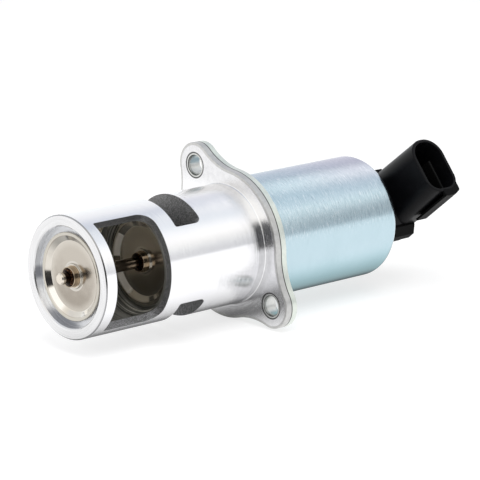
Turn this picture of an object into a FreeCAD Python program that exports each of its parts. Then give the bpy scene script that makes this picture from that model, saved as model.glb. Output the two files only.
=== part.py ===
import FreeCAD, Part
import math
import os
from FreeCAD import Vector

# Exhaust gas recirculation valve: a two-seat poppet valve in a bored aluminium barrel, driven by a solenoid
# in a drawn steel can, with a lift sensor and the connector in the plastic cover at the back.
#
# Frame, in millimetres: the origin lies on the valve axis in the plane of the flange's mounting face.
# +X runs along the valve axis to the connector end, the barrel reaches into -X, and +Z is up.
# Angles round the axis start at +Z and run towards -Y.

# Clearances and fits
PRESS = 0.02            # modelled line between two pressed or moulded-in faces
RUNNING = 0.05          # radial play of a guided shaft
SEAT_GAP = 0.2          # disc to seat when the valve is shut
BEDDING = 0.1           # loose assembly play, along the axis or radial
STROKE = 4.5            # travel of the stem, from shut to fully open

# Barrel housing
BARREL_R = 21.0
CHAMBER_R = 18.4        # inner wall of both gas chambers
FRONT_RING = 4.4        # length of the front seat ring
FRONT_CHAMBER = 23.2    # length of the chamber behind it
MIDDLE_WALL = 6.8       # the wall that holds the second seat
REAR_CHAMBER = 11.4
END_WALL = 5.0
CAVITY_DEPTH = 19.0     # spring cavity, open towards the solenoid
RIM_BREAK = 0.4         # broken edge at the barrel's mouth
FRONT_BORE_R = 17.2     # counterbore in front of the first seat
MIDDLE_BORE_R = 17.4    # counterbore in front of the second seat
MIDDLE_STEP_R = 16.4
MIDDLE_STEP_DEPTH = 2.4
SEAT_BORE_R = 13.2
CAVITY_R = 17.5
CAVITY_CORNER = 2.0
BOSS_R = 9.5
BOSS_LENGTH = 10.0
FLANGE_T = 2.5
FLANGE_FILLET = 0.4

# Side windows, as start and end angle round the axis
FRONT_WINDOW = (24.0, 141.0)
FRONT_WINDOW_CORNER = 5.5
UPPER_WINDOW = (-56.0, 47.0)
LOWER_WINDOW = (124.0, 227.0)
REAR_WINDOW_CORNER = 2.5
WINDOW_FRONT_CORNER = 0.8

# Flange outline, shared by the housing and the can
FLANGE_R = 26.2
EAR_R = 8.0
EAR_BLEND_R = 25.0      # hollow curve from the round flange to an ear
HOLE_SPACING = 58.0
HOLE_LINE_OFFSET = 5.55     # the line through both holes passes the valve axis at this distance
HOLE_LINE_ANGLE = 47.6      # from +Y towards +Z

# Rolled eyelets, for M6 bolts
EYELET_BORE_R = 3.3
EYELET_T = 0.4
EYELET_LIP_R = 4.3
EYELET_LIP_T = 0.5

# Poppets
DISC_R = 15.0
DISC_T = 0.8
DISC_RIM = 1.0          # flat rim round the dish
DISH_DEPTH = 1.55
DISH_FLOOR_R = 11.94
HUB_R = 3.45
HUB_STEP_R = 4.3
HUB_LENGTH = 2.5
HUB_STEP = 0.6
WELD = 0.5              # weld bead between hub and stem
EDGE = 0.2              # bevel of a small broken edge
FRONT_DISC_INSET = 1.65     # from the barrel's front face to the first disc's rim
REAR_DISC_PLANE = 31.45     # from the barrel's front face to the second disc's rim

# Stem and its guide
STEM_R = 2.0
STEM_TIP = 3.0          # stands out of the barrel's front face
STEM_CHAMFER = 0.4
BUSH_R = 4.5
SCRAPER_LENGTH = 2.0
SCRAPER_PLAY = 0.3

# Return spring, retainer and collets
SPRING_MEAN_R = 11.5
SPRING_WIRE_R = 0.9
SPRING_TURNS = 5
RETAINER_R = 13.4
RETAINER_T = 1.2
RETAINER_BORE_R = 3.2
LIFT_RESERVE = 0.9      # left between collets and boss at full lift
COLLET_OVERHANG = 0.4
COLLET_SPLIT = 0.4

# Solenoid can
STEEL_FLANGE_T = 2.5
CAN_R = 21.7
CAN_WALL = 2.0
CAN_LENGTH = 61.2       # from the joint of the two flanges to the can's rear face
CAN_EDGE_R = 3.0
CAN_INNER_EDGE_R = 1.0
CAN_ROOT_R = 0.6
CAN_HOLE_R = 5.1

# Magnetic circuit
POLE_PLATE_T = 4.0
POLE_CORE_R = 8.0
POLE_CORE_LENGTH = 19.5
POLE_CORE_BORE_R = 2.6
POLE_TUBE_LENGTH = 21.5
SHIM_T = 0.5
SHIM_R = 6.5
AIR_RESERVE = 0.5       # air gap left at full lift
SLEEVE_T = 0.6
ARMATURE_PLAY = 0.08
BEHIND_ARMATURE = 1.7   # air behind the armature when the valve is shut
ARMATURE_STEM_DEPTH = 6.5
BALANCE_HOLE_R = 1.0
BALANCE_HOLE_PITCH = 5.0
POLE_TUBE_T = 2.5
REAR_PLATE_T = 4.5
FLUX_GAP = 12.2         # between the ends of both flux tubes
REAR_PLATE_BORE_R = 5.4

# Coil
BOBBIN_WALL = 1.0
BOBBIN_FLANGE_T = 1.5
BOBBIN_R = 19.3
WINDING_R = 18.3
LEAD_R = 0.6
LEAD_PITCH_R = 13.0
LEAD_ANGLES = (35.0, 67.0)
LEAD_LENGTH = 9.5

# Rear cover and connector socket
COVER_BASE_R = 15.0
COVER_BASE_T = 4.0
COVER_BODY_R = 12.5
COVER_LENGTH = 19.0
COVER_WALL = 1.7
COVER_EDGE = 1.6        # chamfer round the cover's rear edge
BLOCK_HALF = 13.6       # half width across the socket of the square block that carries it
BLOCK_TOP = 7.4         # from the valve axis to the block's top, along the socket
BLOCK_SHOULDER = 5.1    # and to its lower shoulder at the socket's upper end
BLOCK_BEVEL = 2.6
BLOCK_FOOT = 1.6        # where its sides start to run into the round housing
NECK_R = 5.0
NECK_LENGTH = 3.1
NECK_BORE_R = 2.0
SOCKET_ANGLE = 51.0
SOCKET_AXIS = 15.25     # from the can's rear face to the socket's axis
SOCKET_HEIGHT = 31.0    # from the valve axis to the socket's mouth
SOCKET_ROOT = 6.0
SOCKET_HALF_WIDTH = 7.4
SOCKET_UP = 11.2        # from the socket's axis to its upper end
SOCKET_DOWN = 9.9       # and to its lower end
SOCKET_CORNER = 6.9
SOCKET_LOWER_CORNER = 5.6
SOCKET_WALL = 1.2
SOCKET_DRAFT = 0.5      # the socket grows by this much towards its root
SOCKET_FLOOR = 16.0
SOCKET_TONGUE = 0.8     # thickness of the tongue between the two terminal rows
SOCKET_TONGUE_TOP = 29.8
SOCKET_TONGUE_LENGTH = 11.7
LOCK_SLOT = 1.2
LOCK_PLATE = 0.8
LOCK_FRONT = -1.5       # the lock housing's front edge, from the socket's axis
LOCK_BACK = 6.4
LOCK_FOOT = 12.5
LOCK_ROOF = 1.2

# Terminals
TERMINAL_ROWS = (3, 2)  # terminals in front of the tongue and behind it
TERMINAL_SIDE = 3.2     # from the tongue's middle to either row
TERMINAL_PITCH = 4.0
TERMINAL_WIDTH = 1.5
TERMINAL_T = 0.6
TERMINAL_TOP = 24.5
TERMINAL_FOOT = 9.6

# Seals and cover retainer
CAN_SEAL_R = 0.8
COVER_SEAL_R = 0.7
COVER_SEAL_PITCH_R = 7.6
PUSH_NUT_R = 8.4
PUSH_NUT_T = 0.5
PUSH_NUT_PLACE = 0.2    # behind the can's rear wall

# Lift sensor
PLUNGER_R = 1.5
SLIDER_R = 4.2
SLIDER_LENGTH = 4.0
SLIDER_PLACE = 6.6      # from the can's rear face to the slider when the valve is shut
BOARD_T = 1.0
BOARD_OFFSET = 6.2      # under the valve axis
BOARD_WIDTH = 15.6
BOARD_LENGTH = 12.4
WIPER_WIDTH = 1.2
WIPER_T = 0.3
WIPER_SPREAD = 1.6
SENSOR_SPRING_R = 2.8
SENSOR_WIRE_R = 0.3
SENSOR_TURNS = 5

# Places along the axis that follow from the sizes
BARREL_LENGTH = FRONT_RING + FRONT_CHAMBER + MIDDLE_WALL + REAR_CHAMBER + END_WALL + CAVITY_DEPTH
FRONT = -BARREL_LENGTH
FRONT_CHAMBER_X = FRONT + FRONT_RING
MIDDLE_X = FRONT_CHAMBER_X + FRONT_CHAMBER
REAR_CHAMBER_X = MIDDLE_X + MIDDLE_WALL
END_WALL_X = REAR_CHAMBER_X + REAR_CHAMBER
CAVITY_X = END_WALL_X + END_WALL
BOSS_X = CAVITY_X + BOSS_LENGTH
JOINT_X = FLANGE_T
CAN_END = JOINT_X + CAN_LENGTH
CAN_BACK = CAN_END - CAN_WALL
CAN_BORE_R = CAN_R - CAN_WALL
POLE_X = JOINT_X + POLE_PLATE_T
CORE_X = POLE_X + POLE_CORE_LENGTH
SHIM_X = CORE_X + SHIM_T
ARMATURE_X = SHIM_X + AIR_RESERVE + STROKE
STEM_END = ARMATURE_X + ARMATURE_STEM_DEPTH
SLEEVE_BORE_R = POLE_CORE_R + ARMATURE_PLAY
SLEEVE_R = SLEEVE_BORE_R + SLEEVE_T
POLE_TUBE_BORE_R = SLEEVE_R + PRESS
POLE_TUBE_R = POLE_TUBE_BORE_R + POLE_TUBE_T
REAR_PLATE_X = CAN_BACK - REAR_PLATE_T
REAR_TUBE_X = POLE_X + POLE_TUBE_LENGTH + FLUX_GAP
ARMATURE_END = REAR_PLATE_X - BEHIND_ARMATURE
SEAT_DEPTH = DISC_T + SEAT_GAP + 0.05
RETAINER_X = BOSS_X + STROKE + LIFT_RESERVE + COLLET_OVERHANG
RETAINER_PLANE = RETAINER_X + RETAINER_T
COVER_END = CAN_END + COVER_LENGTH
COVER_CAVITY_R = COVER_BODY_R - COVER_WALL
COVER_CAVITY_END = COVER_END - COVER_WALL
SOCKET_X = CAN_END + SOCKET_AXIS
SLIDER_X = CAN_END + SLIDER_PLACE
EYELET_R = EYELET_BORE_R + EYELET_T


def along_axis(u, v):
    """A profile point: u along the valve axis, v out from it."""
    return Vector(u, 0, v)


def corner_edges(corners, place):
    """Edges of a closed outline through corners (u, v, radius): a radius rounds, a negative one bevels."""
    cuts = []
    count = len(corners)
    for i, (u, v, radius) in enumerate(corners):
        here = Vector(u, v, 0)
        before = Vector(corners[i - 1][0], corners[i - 1][1], 0) - here
        after = Vector(corners[(i + 1) % count][0], corners[(i + 1) % count][1], 0) - here
        before.normalize()
        after.normalize()
        if radius <= 0:
            cuts.append((here - before * radius, None, here - after * radius))
            continue
        half = before.getAngle(after) / 2
        reach = radius / math.tan(half)
        middle = before + after
        middle.normalize()
        apex = here + middle * (radius / math.sin(half) - radius)
        cuts.append((here + before * reach, apex, here + after * reach))
    edges = []
    for i, (start, apex, end) in enumerate(cuts):
        if apex is not None:
            edges.append(Part.Arc(place(*start[:2]), place(*apex[:2]), place(*end[:2])).toShape())
        elif (end - start).Length > 1e-6:
            edges.append(Part.LineSegment(place(*start[:2]), place(*end[:2])).toShape())
        nxt = cuts[(i + 1) % count][0]
        if (nxt - end).Length > 1e-6:
            edges.append(Part.LineSegment(place(*end[:2]), place(*nxt[:2])).toShape())
    return edges


def outline(corners, place):
    return Part.Wire(corner_edges(corners, place))


def turned(corners):
    """A solid of revolution about the valve axis from corners (x, r) or (x, r, rounding radius)."""
    full = [c if len(c) == 3 else (c[0], c[1], 0) for c in corners]
    return Part.Face(outline(full, along_axis)).revolve(Vector(0, 0, 0), Vector(1, 0, 0), 360)


def tube(x0, x1, inner, outer):
    """A plain ring or, with no inner radius, a cylinder along the valve axis."""
    body = Part.makeCylinder(outer, x1 - x0, Vector(x0, 0, 0), Vector(1, 0, 0))
    if inner > 0:
        body = body.cut(Part.makeCylinder(inner, x1 - x0, Vector(x0, 0, 0), Vector(1, 0, 0)))
    return body


def around(angle, r):
    """(y, z) at this radius and angle round the valve axis."""
    a = math.radians(angle)
    return -r * math.sin(a), r * math.cos(a)


def rod(x0, x1, radius, y, z):
    return Part.makeCylinder(radius, x1 - x0, Vector(x0, y, z), Vector(1, 0, 0))


def ring_seal(x, pitch_r, half):
    """A lathe-cut rubber ring: a square section with bevelled corners, half its width each way."""
    corners = [(x + i * half, pitch_r + j * half, -half / 3) for i, j in ((-1, -1), (-1, 1), (1, 1), (1, -1))]
    return turned(corners)


def coil_spring(x0, x1, mean_r, wire_r, turns):
    """A helical spring between the planes x0 and x1, its round wire simplified to six sides."""
    length = x1 - x0 - 2 * wire_r
    helix = Part.makeHelix(length / turns, length, mean_r)
    sides = [math.radians(60 * i) for i in range(7)]
    section = Part.makePolygon([Vector(mean_r + wire_r * math.cos(a), 0, wire_r * math.sin(a)) for a in sides])
    coil = Part.Wire(helix).makePipeShell([section], True, True)
    coil.rotate(Vector(0, 0, 0), Vector(0, 1, 0), 90)
    coil.translate(Vector(x0 + wire_r, 0, 0))
    return coil


def hole_centres():
    """(y, z) of the two bolt holes: their line is turned and passes beside the valve axis."""
    a = math.radians(HOLE_LINE_ANGLE)
    along = Vector(math.cos(a), math.sin(a), 0)
    middle = Vector(-math.sin(a), math.cos(a), 0) * HOLE_LINE_OFFSET
    return [middle + along * (side * HOLE_SPACING / 2) for side in (1, -1)]


def blend_centre(hole, side):
    """Centre of the hollow arc that touches the round flange and an ear from outside."""
    far = FLANGE_R + EAR_BLEND_R
    near = EAR_R + EAR_BLEND_R
    reach = hole.Length
    turn = math.acos((far ** 2 + reach ** 2 - near ** 2) / (2 * far * reach))
    angle = math.atan2(hole.y, hole.x) + side * turn
    return Vector(math.cos(angle), math.sin(angle), 0) * far


def flange_plate(x0, thickness, bore_r):
    """The two-eared plate: round flange, hollow blends and round ears, bored, with holes for the eyelets."""
    edges = []
    for hole, other in zip(hole_centres(), reversed(hole_centres())):
        first = blend_centre(hole, -1)
        second = blend_centre(hole, 1)
        on_disc = first * (FLANGE_R / first.Length)
        on_ear = hole + (first - hole) * (EAR_R / (first - hole).Length)
        edges.append(arc_about(first, EAR_BLEND_R, on_disc, on_ear, x0))
        off_ear = hole + (second - hole) * (EAR_R / (second - hole).Length)
        edges.append(arc_about(hole, EAR_R, on_ear, off_ear, x0))
        off_disc = second * (FLANGE_R / second.Length)
        edges.append(arc_about(second, EAR_BLEND_R, off_ear, off_disc, x0))
        following = blend_centre(other, -1)
        edges.append(arc_about(Vector(0, 0, 0), FLANGE_R, off_disc,
                               following * (FLANGE_R / following.Length), x0))
    plate = Part.Face(Part.Wire(edges)).extrude(Vector(thickness, 0, 0))
    plate = plate.cut(tube(x0, x0 + thickness, 0, bore_r))
    for hole in hole_centres():
        plate = plate.cut(rod(x0, x0 + thickness, EYELET_R + PRESS, hole.x, hole.y))
    return plate


def arc_about(centre, radius, start, end, x0):
    """The shorter arc between two points of a circle, in the plane x = x0."""
    middle = (start + end) * 0.5 - centre
    middle = centre + middle * (radius / middle.Length)
    return Part.Arc(*[Vector(x0, p.x, p.y) for p in (start, middle, end)]).toShape()


def window_tool(x0, x1, angles, rear_corner):
    """The cutter of one window: a wedge of the chamber's length with rounded corners."""
    inner = SEAT_BORE_R
    outer = BARREL_R + BARREL_R - CHAMBER_R
    strip = Part.Face(outline([(x0, inner, 0), (x1, inner, 0), (x1, outer, 0), (x0, outer, 0)], along_axis))
    strip.rotate(Vector(0, 0, 0), Vector(1, 0, 0), angles[0])
    wedge = strip.revolve(Vector(0, 0, 0), Vector(1, 0, 0), angles[1] - angles[0])
    for x, radius in ((x1, rear_corner), (x0, WINDOW_FRONT_CORNER)):
        corners = [e for e in wedge.Edges
                   if isinstance(e.Curve, Part.Line) and abs(e.Length - (outer - inner)) < 1e-6
                   and all(abs(v.X - x) < 1e-6 for v in e.Vertexes)]
        wedge = wedge.makeFillet(radius, corners)
    return wedge


def seat_bore(rim_plane):
    """Profile corners of a seat: flat floor, conical seat parallel to the dish, then the seat bore."""
    floor = rim_plane + SEAT_DEPTH
    dish = math.atan2(DISC_R - DISC_RIM - DISH_FLOOR_R, DISH_DEPTH)
    offset = DISC_T + SEAT_GAP
    start_x = rim_plane + offset * math.sin(dish)
    start_r = DISC_R - DISC_RIM + offset * math.cos(dish)
    slope = math.tan(dish)
    floor_r = start_r - (floor - start_x) * slope
    throat_x = start_x + (start_r - SEAT_BORE_R) / slope
    return [(floor, floor_r), (throat_x, SEAT_BORE_R)]


def barrel_housing():
    """The casting: everything round is one turned profile, then come the windows, boss bore and flange."""
    front_seat = seat_bore(FRONT + FRONT_DISC_INSET)
    rear_seat = seat_bore(FRONT + REAR_DISC_PLANE)
    step_x = MIDDLE_X + MIDDLE_STEP_DEPTH
    body = turned([
        (FRONT, FRONT_BORE_R + RIM_BREAK),
        (FRONT, BARREL_R - RIM_BREAK),
        (FRONT + RIM_BREAK, BARREL_R),
        (0, BARREL_R, FLANGE_FILLET),
        (0, BARREL_R + FLANGE_FILLET),
        (FLANGE_T, BARREL_R + FLANGE_FILLET),
        (FLANGE_T, CAVITY_R),
        (CAVITY_X, CAVITY_R, CAVITY_CORNER),
        (CAVITY_X, BOSS_R, CAVITY_CORNER / 2),
        (BOSS_X, BOSS_R),
        (BOSS_X, BUSH_R + PRESS),
        (END_WALL_X, BUSH_R + PRESS),
        (END_WALL_X, CHAMBER_R),
        (REAR_CHAMBER_X, CHAMBER_R),
        (REAR_CHAMBER_X, SEAT_BORE_R),
        rear_seat[1],
        rear_seat[0],
        (rear_seat[0][0], MIDDLE_STEP_R),
        (step_x, MIDDLE_STEP_R),
        (step_x, MIDDLE_BORE_R),
        (MIDDLE_X, MIDDLE_BORE_R),
        (MIDDLE_X, CHAMBER_R),
        (FRONT_CHAMBER_X, CHAMBER_R),
        (FRONT_CHAMBER_X, SEAT_BORE_R),
        front_seat[1],
        front_seat[0],
        (front_seat[0][0], FRONT_BORE_R),
        (FRONT + RIM_BREAK, FRONT_BORE_R),
    ])
    body = body.cut(window_tool(FRONT_CHAMBER_X, MIDDLE_X, FRONT_WINDOW, FRONT_WINDOW_CORNER))
    for angles in (UPPER_WINDOW, LOWER_WINDOW):
        body = body.cut(window_tool(REAR_CHAMBER_X, END_WALL_X, angles, REAR_WINDOW_CORNER))
    body = body.fuse(flange_plate(0, FLANGE_T, CAVITY_R)).removeSplitter()
    for hole in hole_centres():
        body = body.cut(rod(0, EYELET_LIP_T, EYELET_LIP_R + PRESS, hole.x, hole.y))
    return body


def poppet(rim_plane):
    """A pressed valve disc: flat rim, conical dish, flat floor and a stepped hub welded round the stem."""
    dish = math.atan2(DISC_R - DISC_RIM - DISH_FLOOR_R, DISH_DEPTH)
    slope = math.tan(dish)
    back_x = rim_plane + DISC_T * math.sin(dish)
    back_r = DISC_R - DISC_RIM + DISC_T * math.cos(dish)
    floor = rim_plane + DISH_DEPTH
    bore = STEM_R + PRESS
    hub_face = floor - HUB_LENGTH
    return turned([
        (hub_face - WELD, bore),
        (hub_face, bore + WELD * 1.4),
        (hub_face, HUB_R, -EDGE),
        (floor - HUB_STEP, HUB_R),
        (floor - HUB_STEP, HUB_STEP_R, -EDGE),
        (floor, HUB_STEP_R),
        (floor, DISH_FLOOR_R),
        (rim_plane, DISC_R - DISC_RIM),
        (rim_plane, DISC_R, -EDGE),
        (rim_plane + DISC_T, DISC_R, -EDGE),
        (rim_plane + DISC_T, back_r - (rim_plane + DISC_T - back_x) * slope),
        (floor + DISC_T, back_r - (floor + DISC_T - back_x) * slope, -DISC_T / 2),
        (floor + DISC_T, bore),
    ])


def valve_stem():
    tip = FRONT - STEM_TIP
    return turned([
        (tip, 0),
        (tip, STEM_R - STEM_CHAMFER),
        (tip + STEM_CHAMFER, STEM_R),
        (STEM_END - STEM_CHAMFER, STEM_R),
        (STEM_END, STEM_R - STEM_CHAMFER),
        (STEM_END, 0),
    ])


def spring_retainer():
    """A dished washer: the rim stands towards the solenoid and centres the spring's last turn."""
    lip = SPRING_MEAN_R - SPRING_WIRE_R - BEDDING
    return turned([
        (RETAINER_X, lip),
        (RETAINER_X, RETAINER_R),
        (RETAINER_PLANE, RETAINER_R),
        (RETAINER_PLANE, RETAINER_BORE_R),
        (RETAINER_X - COLLET_OVERHANG, RETAINER_BORE_R),
        (RETAINER_X - COLLET_OVERHANG, lip - 2 * COLLET_OVERHANG),
    ])


def retainer_collets():
    """Two half collets between stem and retainer."""
    ring = tube(RETAINER_X - COLLET_OVERHANG, RETAINER_PLANE + COLLET_OVERHANG,
                STEM_R + PRESS, RETAINER_BORE_R - PRESS)
    split = Part.makeBox(3 * RETAINER_T, 2 * RETAINER_R, COLLET_SPLIT,
                         Vector(RETAINER_X - RETAINER_T, -RETAINER_R, -COLLET_SPLIT / 2))
    return ring.cut(split)


def ear_eyelets():
    """Two tubes with both ends rolled over, one in each ear; the front lip is sunk flush with the flange."""
    x0 = 0
    x1 = FLANGE_T + STEEL_FLANGE_T + EYELET_LIP_T
    profile = [
        (x0, EYELET_BORE_R + EYELET_LIP_T, 0),
        (x0, EYELET_LIP_R, 0),
        (x0 + EYELET_LIP_T, EYELET_LIP_R, 0),
        (x0 + EYELET_LIP_T, EYELET_R, 0),
        (FLANGE_T + STEEL_FLANGE_T, EYELET_R, 0),
        (FLANGE_T + STEEL_FLANGE_T, EYELET_LIP_R, 0),
        (x1, EYELET_LIP_R, -EYELET_LIP_T / 2),
        (x1, EYELET_BORE_R + EYELET_LIP_T, 0),
        (x1 - EYELET_LIP_T, EYELET_BORE_R, 0),
        (x0 + EYELET_LIP_T, EYELET_BORE_R, 0),
    ]
    pieces = []
    for hole in hole_centres():
        piece = turned(profile)
        piece.translate(Vector(0, hole.x, hole.y))
        pieces.append(piece)
    return Part.Compound(pieces)


def solenoid_can():
    """One drawn cup: plate with ears, cylindrical wall, rounded rear edge, pierced rear wall."""
    flange_x = JOINT_X + STEEL_FLANGE_T
    cup = turned([
        (JOINT_X, CAN_BORE_R),
        (JOINT_X, CAN_R + CAN_ROOT_R),
        (flange_x, CAN_R + CAN_ROOT_R),
        (flange_x, CAN_R, CAN_ROOT_R),
        (CAN_END, CAN_R, CAN_EDGE_R),
        (CAN_END, CAN_HOLE_R),
        (CAN_BACK, CAN_HOLE_R),
        (CAN_BACK, CAN_BORE_R, CAN_INNER_EDGE_R),
    ])
    cup = cup.fuse(flange_plate(JOINT_X, STEEL_FLANGE_T, CAN_BORE_R)).removeSplitter()
    return cup.cut(lead_holes(CAN_BACK, CAN_END))


def lead_holes(x0, x1):
    """Bores for the two coil leads."""
    places = [around(a, LEAD_PITCH_R) for a in LEAD_ANGLES]
    return Part.Compound([rod(x0, x1, LEAD_R + BEDDING, y, z) for y, z in places])


def front_pole():
    """Plate, core and flux tube in one, with the groove of the can's seal in the plate's rim."""
    plate_r = CAN_BORE_R - BEDDING
    groove = CAN_BORE_R - 2 * CAN_SEAL_R
    middle = JOINT_X + POLE_PLATE_T / 2
    tube_x = POLE_X + POLE_TUBE_LENGTH
    body = turned([
        (JOINT_X, POLE_CORE_BORE_R),
        (JOINT_X, plate_r),
        (middle - CAN_SEAL_R - PRESS, plate_r),
        (middle - CAN_SEAL_R - PRESS, groove),
        (middle + CAN_SEAL_R + PRESS, groove),
        (middle + CAN_SEAL_R + PRESS, plate_r),
        (POLE_X, plate_r),
        (POLE_X, POLE_TUBE_R),
        (tube_x - POLE_TUBE_T, POLE_TUBE_R),
        (tube_x, POLE_TUBE_BORE_R + 0.4),
        (tube_x, POLE_TUBE_BORE_R),
        (POLE_X, POLE_TUBE_BORE_R),
        (POLE_X, POLE_CORE_R),
        (CORE_X, POLE_CORE_R),
        (CORE_X, POLE_CORE_BORE_R),
    ])
    return body


def rear_pole():
    """Plate and flux tube at the closed end, recessed for the cover's push nut."""
    plate_r = CAN_BORE_R - BEDDING
    recess = CAN_BACK - PUSH_NUT_T - 2 * PUSH_NUT_PLACE
    body = turned([
        (REAR_TUBE_X, POLE_TUBE_BORE_R),
        (REAR_TUBE_X, POLE_TUBE_R),
        (REAR_PLATE_X, POLE_TUBE_R),
        (REAR_PLATE_X, plate_r),
        (CAN_BACK - CAN_INNER_EDGE_R, plate_r),
        (CAN_BACK, plate_r - CAN_INNER_EDGE_R),
        (CAN_BACK, PUSH_NUT_R + PUSH_NUT_PLACE),
        (recess, PUSH_NUT_R + PUSH_NUT_PLACE),
        (recess, REAR_PLATE_BORE_R),
        (REAR_PLATE_X, REAR_PLATE_BORE_R),
        (REAR_PLATE_X, POLE_TUBE_BORE_R),
    ])
    return body.cut(lead_holes(REAR_PLATE_X, CAN_BACK))


def armature():
    """Soft steel plunger: stem bore in front, two balance holes so that air passes it."""
    body = turned([
        (ARMATURE_X, STEM_R + PRESS),
        (ARMATURE_X, POLE_CORE_R, -2 * EDGE),
        (ARMATURE_END, POLE_CORE_R, -2 * EDGE),
        (ARMATURE_END, 0),
        (STEM_END, 0),
        (STEM_END, STEM_R + PRESS),
    ])
    for side in (1, -1):
        body = body.cut(rod(ARMATURE_X, ARMATURE_END, BALANCE_HOLE_R, 0, side * BALANCE_HOLE_PITCH))
    return body


def coil_bobbin():
    """A spool between both pole plates, round the flux tubes."""
    bore = POLE_TUBE_R + BEDDING
    barrel = bore + BOBBIN_WALL
    x0 = POLE_X
    x1 = REAR_PLATE_X
    return turned([
        (x0, bore),
        (x0, BOBBIN_R),
        (x0 + BOBBIN_FLANGE_T, BOBBIN_R),
        (x0 + BOBBIN_FLANGE_T, barrel),
        (x1 - BOBBIN_FLANGE_T, barrel),
        (x1 - BOBBIN_FLANGE_T, BOBBIN_R),
        (x1, BOBBIN_R),
        (x1, bore),
    ]).cut(lead_holes(x1 - BOBBIN_FLANGE_T, x1))


def coil_winding():
    barrel = POLE_TUBE_R + BEDDING + BOBBIN_WALL
    return tube(POLE_X + BOBBIN_FLANGE_T, REAR_PLATE_X - BOBBIN_FLANGE_T, barrel + PRESS, WINDING_R)


def coil_leads():
    """The winding's two ends, straight from the coil into the cover."""
    x0 = REAR_PLATE_X - BOBBIN_FLANGE_T
    places = [around(a, LEAD_PITCH_R) for a in LEAD_ANGLES]
    return Part.Compound([rod(x0, x0 + LEAD_LENGTH, LEAD_R, y, z) for y, z in places])


def in_socket(s, t, h):
    """A point in the socket's own frame: s along the valve axis, t down across it, h out of the cover."""
    a = math.radians(SOCKET_ANGLE)
    return Vector(SOCKET_X + s,
                  -h * math.sin(a) - t * math.cos(a),
                  h * math.cos(a) - t * math.sin(a))


def socket_outline(h, grow):
    """The socket's section at height h: round upper end, flatter lower end."""
    w = SOCKET_HALF_WIDTH + grow
    up = SOCKET_UP + grow
    down = SOCKET_DOWN + grow
    upper = min(SOCKET_CORNER + grow, w - 0.1)
    lower = min(SOCKET_LOWER_CORNER + grow, w - 0.1)
    corners = [(-w, -up, upper), (w, -up, upper), (w, down, lower), (-w, down, lower)]
    return outline(corners, lambda s, t: in_socket(s, t, h))


def socket_prism(h0, h1, grow0, grow1):
    return Part.makeLoft([socket_outline(h0, grow0), socket_outline(h1, grow1)], True, True)


def socket_block(s0, s1, t0, t1, h0, h1):
    """A block in the socket's frame."""
    corners = [(s0, t0, 0), (s1, t0, 0), (s1, t1, 0), (s0, t1, 0)]
    face = Part.Face(outline(corners, lambda s, t: in_socket(s, t, h0)))
    return face.extrude(in_socket(0, 0, h1) - in_socket(0, 0, h0))


def terminal_blades(extra, h0, h1):
    """The terminals, or with some extra size their slots, in one row on each side of the tongue."""
    half_w = TERMINAL_WIDTH / 2 + extra
    half_t = TERMINAL_T / 2 + extra
    middle = (SOCKET_DOWN - SOCKET_UP) / 2
    blades = []
    for s, count in zip((-TERMINAL_SIDE, TERMINAL_SIDE), TERMINAL_ROWS):
        for i in range(count):
            t = middle + (i - (count - 1) / 2) * TERMINAL_PITCH
            blades.append(socket_block(s - half_t, s + half_t, t - half_w, t + half_w, h0, h1))
    return Part.Compound(blades)


def lock_housing():
    """The pocket at the socket's lower end that takes the plug's latch, open towards the barrel."""
    plate_out = SOCKET_DOWN + LOCK_SLOT + LOCK_PLATE
    corners = [
        (LOCK_FRONT, SOCKET_DOWN - SOCKET_LOWER_CORNER, 0),
        (LOCK_BACK + 0.9, SOCKET_DOWN - SOCKET_LOWER_CORNER, 0),
        (LOCK_BACK, SOCKET_DOWN - 2.6, 0),
        (LOCK_BACK, plate_out - 1.4, 1.0),
        (LOCK_BACK - 3.0, plate_out, 1.5),
        (LOCK_FRONT, plate_out, 0),
    ]
    face = Part.Face(outline(corners, lambda s, t: in_socket(s, t, LOCK_FOOT)))
    block = face.extrude(in_socket(0, 0, SOCKET_HEIGHT) - in_socket(0, 0, LOCK_FOOT))
    pocket = socket_block(LOCK_FRONT - 1, LOCK_BACK - 1.6, SOCKET_DOWN, SOCKET_DOWN + LOCK_SLOT,
                          LOCK_FOOT - 1, SOCKET_HEIGHT - LOCK_ROOF)
    return block.cut(pocket)


def socket_stand():
    """The block that the socket rises from, square to it, its sides run into the round housing."""
    slope = (BLOCK_TOP - BLOCK_SHOULDER) / 2
    foot = math.sqrt(COVER_BODY_R ** 2 - BLOCK_FOOT ** 2) - EDGE
    corners = [
        (-foot, -BLOCK_FOOT, 0),
        (-BLOCK_HALF, BLOCK_FOOT, 0),
        (-BLOCK_HALF, BLOCK_SHOULDER, -2 * EDGE),
        (-SOCKET_UP, BLOCK_SHOULDER, 0),
        (-SOCKET_UP + slope, BLOCK_TOP, 0),
        (BLOCK_HALF, BLOCK_TOP, -BLOCK_BEVEL),
        (BLOCK_HALF, BLOCK_FOOT, 0),
        (foot, -BLOCK_FOOT, 0),
    ]
    x0 = CAN_END + COVER_BASE_T / 2
    x1 = COVER_END - COVER_EDGE
    face = Part.Face(outline(corners, lambda t, h: in_socket(x0 - SOCKET_X, t, h)))
    return face.extrude(Vector(x1 - x0, 0, 0))


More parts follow.
